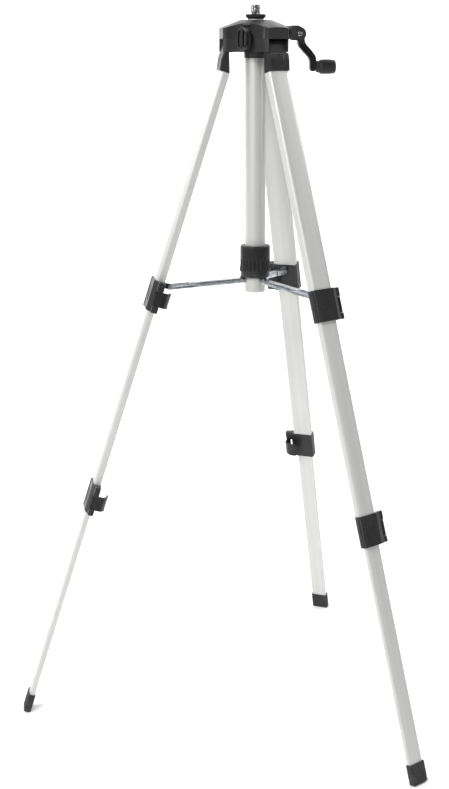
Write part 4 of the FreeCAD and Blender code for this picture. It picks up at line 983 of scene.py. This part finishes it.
def lock_casing(letter, name, tube, following, lug):
    """Clamp sleeve: a bead down one edge, finger grooves, and two ears for the lever on the other edge."""
    node = "leg_%s_%s_lock" % (letter, name)
    body = body_of(node)
    matrix = leg_frame(letter)
    low, high = local_box(node, matrix)
    width, depth, crown = TUBES[tube]
    next_w, next_d, _ = TUBES[following]
    edge, wall_y = width / 2, width / 2 + 1.2
    x0, x1, y0, ear_x, ear_x1 = -depth / 2 - 1.0, depth / 2 + 1.7, -edge - 1.0, 0.2 - depth / 2, 3.0
    border = ear_x1 + 0.5
    slope_y = edge - 2 + 11 * (x1 - border) / (x1 - ear_x1)
    ear_y = edge + EAR_OUT
    bead_x, bead_y, bead_r = x1 - 1.4, y0 + 2.2, 2.15
    corners = [((x0, y0 + 1.7), 1.2), ((x0 + 2.4, y0 + 0.5), 2.5), ((x0 + 6.4, y0), 5.0),
               ((bead_x - 4.2, y0 + 0.25), 3.0), ((bead_x - 2.0, y0 + 1.0), 0.6)]
    corners += [(spot, 0.3) for spot in arc(bead_r, range(-150, 76, 15), (bead_x, bead_y))]
    corners += [((x1 - 0.8, y0 + 5.3), 0.4), ((x1 - 0.6, y0 + 6.1), 0.4), ((x1 - 0.02, y0 + 7.3), 0.8),
                ((x1, edge - 2), 1.2), ((border + 0.02, slope_y), 0.01),
                ((border - 0.02, slope_y + 0.04), 0.01), ((ear_x1, edge + 9.2), 0.6),
                ((ear_x1, ear_y), 2.0), ((ear_x, ear_y), 2.0),
                ((ear_x, wall_y + 0.3), 0.3), ((x0 + 0.5, wall_y - 0.2), 0.6), ((x0, edge), 0.8)]
    loop = spaced(rounded([spot for spot, _ in corners], [radius for _, radius in corners], 3), 0.6)
    top, foot = high.z, low.z
    opening, closing = top - EAR, top - EAR - WINDOW_LEN
    heads, feet = (-11.0, -5.0, 1.0, 6.0), (-2.0, 1.0, 4.0, 6.5)

    def section(z, inset=0.0, window=False, carved=True):
        ring = []
        for p in shrunk(loop, inset) if inset else loop:
            x, y = p.x, p.y
            if window and p.x < border:
                y = min(y, wall_y)
            if carved and p.x > x1 - 0.4:
                x -= 1.6 * fan(y, z, top - 11.0, top - 33.0, heads, feet)
            ring.append((x, y, z))
        return ring

    def sleeve(half_w, half_d, corner, z):
        """Inner outline with round outer corners, point for point with the casing's outline."""
        spots = []
        for p in loop:
            scale = 1 / max(abs(p.x) / half_d, abs(p.y) / half_w)
            x, y = p.x * scale, p.y * scale
            centre = Vector((half_d - corner, copysign(half_w - corner, y)))
            if x > centre.x and abs(y) > abs(centre.y):
                x, y = centre + (Vector((x, y)) - centre).normalized() * corner
            spots.append((x, y, z))
        return spots

    rows = [section(top, 0.6, carved=False), section(top - 0.2, 0.2, carved=False),
            section(top - 0.7, carved=False)]
    rows += [section(z) for z in spread_of(top - 1.3, opening + 0.02, 0.62)]
    rows += [section(z, 0, True) for z in spread_of(opening - 0.02, closing + 0.02, 0.62)]
    rows += [section(z) for z in spread_of(closing - 0.02, foot + 1.2, 0.62)]
    rows += [section(foot + 0.7, carved=False), section(foot + 0.2, 0.2, carved=False),
             section(foot, 0.6, carved=False)]
    step = top - TUBE_SEAT
    rows += [sleeve(next_w / 2 + 0.4, next_d / 2 + 0.4, 0.4, z) for z in (foot, step)]
    rows += [sleeve(edge + 0.05, depth / 2 + 0.05, crown - 0.5, z) for z in (step + 0.01, top)]
    shape = Shape(matrix)
    shape.loft(rows, True)
    if lug:
        tip = arc(LUG_R, range(90, 271, 15), LUG)
        outline = [Vector(p) for p in tip + [(x0 + 1, LUG[1] - LUG_R), (x0 + 1, LUG[1] + LUG_R)]]
        slab(shape, outline, -4.25, 4.25, 0.7, upright_xz)
    shape.piece(node + "_casing", PLASTIC, body, [node], 34)
    pin = Shape(matrix)
    pin.lathe([(1.0, closing - 0.3), (1.0, opening + 0.3)], 24, turn=at(0, edge + PIN_OUT, 0))
    pin.piece(node + "_pin", CHROME, body)


def lock_lever(letter, name, tube):
    """Cam lever: a barrel on the pin, a flat shank and a thumb flap that turns back over the tube."""
    node = "leg_%s_%s_lever" % (letter, name)
    matrix = leg_frame(letter)
    low, high = local_box(node, matrix)
    py = TUBES[tube][0] / 2 + PIN_OUT
    upper_side = [(-6, 2.28), (-10.5, 2.0), (-12.2, 2.28), (-14.4, 1.4), (-16.8, -1.2), (-19.2, -4.6),
                  (-20.8, -8.4), (-21.3, -12.5), (-21.48, -17.0), (-21.2, -19.2), (-20.0, -19.95)]
    under_side = [(-18.7, -19.3), (-18.1, -17.0), (-17.9, -12.0), (-16.6, -8.0), (-14.6, -4.8), (-12.4, -2.2),
                  (-10.5, -1.1), (-6.0, -0.98)]
    loop = spaced(rounded(arc(3.15, range(-158, 135, 12)) + upper_side + under_side, 0.5, 3), 0.8)
    span, bend, reach = high.z - low.z, -3.0, 17.0
    rings = []
    for t in [0.0, 0.005, 0.015, 0.03] + spread_of(0.05, 0.95, 0.025) + [0.97, 0.985, 0.995, 1.0]:
        z = low.z + span * t
        side = min(t, 1 - t) * span
        radius = 1.5 if t > 0.5 else 4.5
        corner = radius * rounding(side, radius)
        soft = 0.45 * rounding(side, 0.5)
        inner = smooth((side - 2.0) / 2.5)
        spots = []
        for p in shrunk(loop, soft) if soft else loop:
            x, y = p.x, p.y
            if y < bend:
                y = bend + (y - bend) * (reach - corner) / reach
            if x < -13.0 and y > -18.5 and x < -14.0 - 0.4 * (y + 4.0):
                x += 0.45 * inner * bump(y, -9.0, 7.0)
            if y > 1.6 and -10.5 < x < -4.0:
                y -= 0.6 * inner * bump(x, -7.5, 3.0)
            spots.append((x, py + y, z))
        rings.append(spots)
    shape = Shape(matrix)
    shape.loft(rings)
    shape.piece(node + "_cam", LEVER_PLASTIC, body_of(node), [node], 34)


# ------------------------ feet
FOOT_LEN, FOOT_HALF_D, FOOT_HALF_W = 30.0, 5.7, 14.45
SOCKET_DEEP, SOCKET_HALF_D, SOCKET_HALF_W = 24.0, 4.02, 12.87


def foot(letter):
    """Rubber cap: a lip at the tube, upright ribs, cross ribs near the end and a worn flat on the ground."""
    node = "leg_%s_foot" % letter
    matrix = leg_frame(letter)
    top = local_box(node, matrix)[1].z
    end = top - FOOT_LEN
    level = min(v.co.z for v in frame["nodes"][node].data.vertices)
    base = rounded(block(FOOT_HALF_D, FOOT_HALF_W), 3.4, 8, [22, 80, 22, 80])
    normals = outward(base)

    def section(z, inset, carved=True):
        ring = []
        for p, normal in zip(base, normals):
            depth = inset
            if carved:
                upright = 0.5 + 0.5 * cos(2 * pi * (p.y if abs(normal.x) > 0.7 else p.x) / 3.2)
                cross = 0.5 + 0.5 * cos(2 * pi * (z + p.y * 0.12) / 3.0)
                high_zone = smooth((top - 3.5 - z) / 1.2) * smooth((z - end - 11.5) / 1.2)
                low_zone = smooth((end + 10.2 - z) / 1.0) * smooth((z - end - 2.2) / 1.2)
                depth += 0.6 * upright ** 2 * high_zone + 0.7 * cross ** 2 * low_zone
            ring.append((p.x - normal.x * depth, p.y - normal.y * depth, z))
        return ring

    def socket(z):
        scales = [1 / max(abs(p.x) / SOCKET_HALF_D, abs(p.y) / SOCKET_HALF_W) for p in base]
        return [(p.x * scale, p.y * scale, z) for p, scale in zip(base, scales)]

    rings = [socket(top - SOCKET_DEEP), socket(top)]
    rings += [section(top - down, inset, False) for down, inset in ((0.0, 0.5), (0.25, 0.12), (0.7, 0.0))]
    rings += [section(z, 0.0) for z in spread_of(top - 1.2, end + 3.0, 0.5)]
    for t in (0.15, 0.3, 0.45, 0.6, 0.75, 0.88, 0.97):
        angle = t * pi / 2
        rings.append(section(end + 3.0 * (1 - sin(angle)), 3.0 * (1 - cos(angle)), False))
    shape = Shape(matrix)
    shape.loft(rings)
    shape.points = [Vector((p.x, p.y, max(p.z, level))) for p in shape.points]
    shape.piece(node + "_ribbed", RUBBER, body_of(node), [node], 34)


def leg(letter):
    leg_bracket(letter)
    for name in TUBES:
        leg_tube(letter, name)
    lock_casing(letter, "upper", "upper", "middle", True)
    lock_casing(letter, "lower", "middle", "lower", False)
    lock_lever(letter, "upper", "upper")
    lock_lever(letter, "lower", "middle")
    soften("leg_%s_slide_bush" % letter, PLASTIC, 0.3, 2)
    foot(letter)


canopy()
canopy_screws()
guide_tube()
stud()
seat_disc()
column()
crank()
lock_knob()
hub_nut()
brace_hub()
for letter in LEGS:
    brace(letter)
    brace_fork(letter)
    leg(letter)


# ------------------------ floor, light and camera
def stage_material():
    n = Nodes("floor_paper")
    place = n.coordinates((1, 1, 1))
    cloud = n.noise(place, 6.0, 2.0)
    n.surface(Base_Color=n.ramp(cloud, [(0.3, grey(0.93)), (0.7, grey(0.95))]), Roughness=0.9)
    return n.material


def floor():
    """Paper sweep: a floor that turns up behind the object."""
    level = cad_bounds[0].z
    half, back, rise, bend, steps = 6.0, 3.2, 4.0, 1.2, 16
    run = [(-4.5, level), (back - bend, level)]
    for step in range(1, steps + 1):
        angle = pi / 2 * step / steps
        run.append((back - bend + bend * sin(angle), level + bend * (1 - cos(angle))))
    run.append((back, level + rise))
    points = [(side * half, y, z) for y, z in run for side in (-1, 1)]
    faces = [(2 * n, 2 * n + 1, 2 * n + 3, 2 * n + 2) for n in range(len(run) - 1)]
    mesh = bpy.data.meshes.new("floor")
    mesh.from_pydata(points, [], faces)
    mesh.polygons.foreach_set("use_smooth", [True] * len(mesh.polygons))
    mesh.materials.append(stage_material())
    placed("floor", mesh)


def softbox(name, spot, target, width, height, power):
    light = bpy.data.lights.new(name, "AREA")
    light.shape = "RECTANGLE"
    light.size = width
    light.size_y = height
    light.energy = power
    obj = placed(name, light)
    obj.location = spot
    obj.rotation_euler = (Vector(target) - Vector(spot)).to_track_quat("-Z", "Y").to_euler()


def lights():
    """Room that is bright behind the object and darker in front, a key from the left, and a lit backdrop."""
    world = bpy.data.worlds.new("studio")
    world.use_nodes = True
    tree = world.node_tree
    place = tree.nodes.new("ShaderNodeTexCoord")
    split = tree.nodes.new("ShaderNodeSeparateXYZ")
    tree.links.new(place.outputs["Generated"], split.inputs["Vector"])
    ramp = tree.nodes.new("ShaderNodeValToRGB")
    shift = tree.nodes.new("ShaderNodeMapRange")
    shift.inputs["From Min"].default_value = -1.0
    tree.links.new(split.outputs["Y"], shift.inputs["Value"])
    tree.links.new(shift.outputs["Result"], ramp.inputs["Fac"])
    fill_ramp(ramp, [(0.0, grey(0.22)), (0.25, grey(0.26)), (0.55, grey(0.50)), (1.0, grey(1.0))])
    sky = tree.nodes["Background"]
    tree.links.new(ramp.outputs["Color"], sky.inputs["Color"])
    sky.inputs["Strength"].default_value = 0.62
    bpy.context.scene.world = world
    middle = (0, 0, -0.45)
    softbox("key", (-1.9, -2.0, 1.3), middle, 0.7, 0.7, 72)
    softbox("fill", (1.6, -2.0, 0.1), middle, 0.5, 1.8, 10)
    softbox("top", (0.0, 0.4, 1.9), middle, 2.4, 2.0, 7)
    for side, x in (("left", -2.2), ("right", 2.2)):
        softbox("backdrop_" + side, (x, 1.0, 1.6), (0, 3.0, -0.6), 1.6, 1.6, 85)


def camera():
    """Eye level with the head, a little left of the front, tipped down to the feet."""
    lens_mm, sensor_mm = 60.58, 36.0
    bearing, tilt = radians(9.451), radians(15.378)
    data = bpy.data.cameras.new("camera")
    data.sensor_width = sensor_mm
    data.lens = lens_mm
    data.shift_x, data.shift_y = -0.0224, 0.0236
    data.dof.use_dof = False
    data.clip_end = 50
    obj = placed("camera", data)
    obj.location = (-0.342, -1.937, -0.0462)
    obj.rotation_euler = (pi / 2 - tilt, 0, -bearing)
    bpy.context.scene.camera = obj


floor()
lights()
camera()
bpy.context.scene.view_settings.view_transform = "Standard"
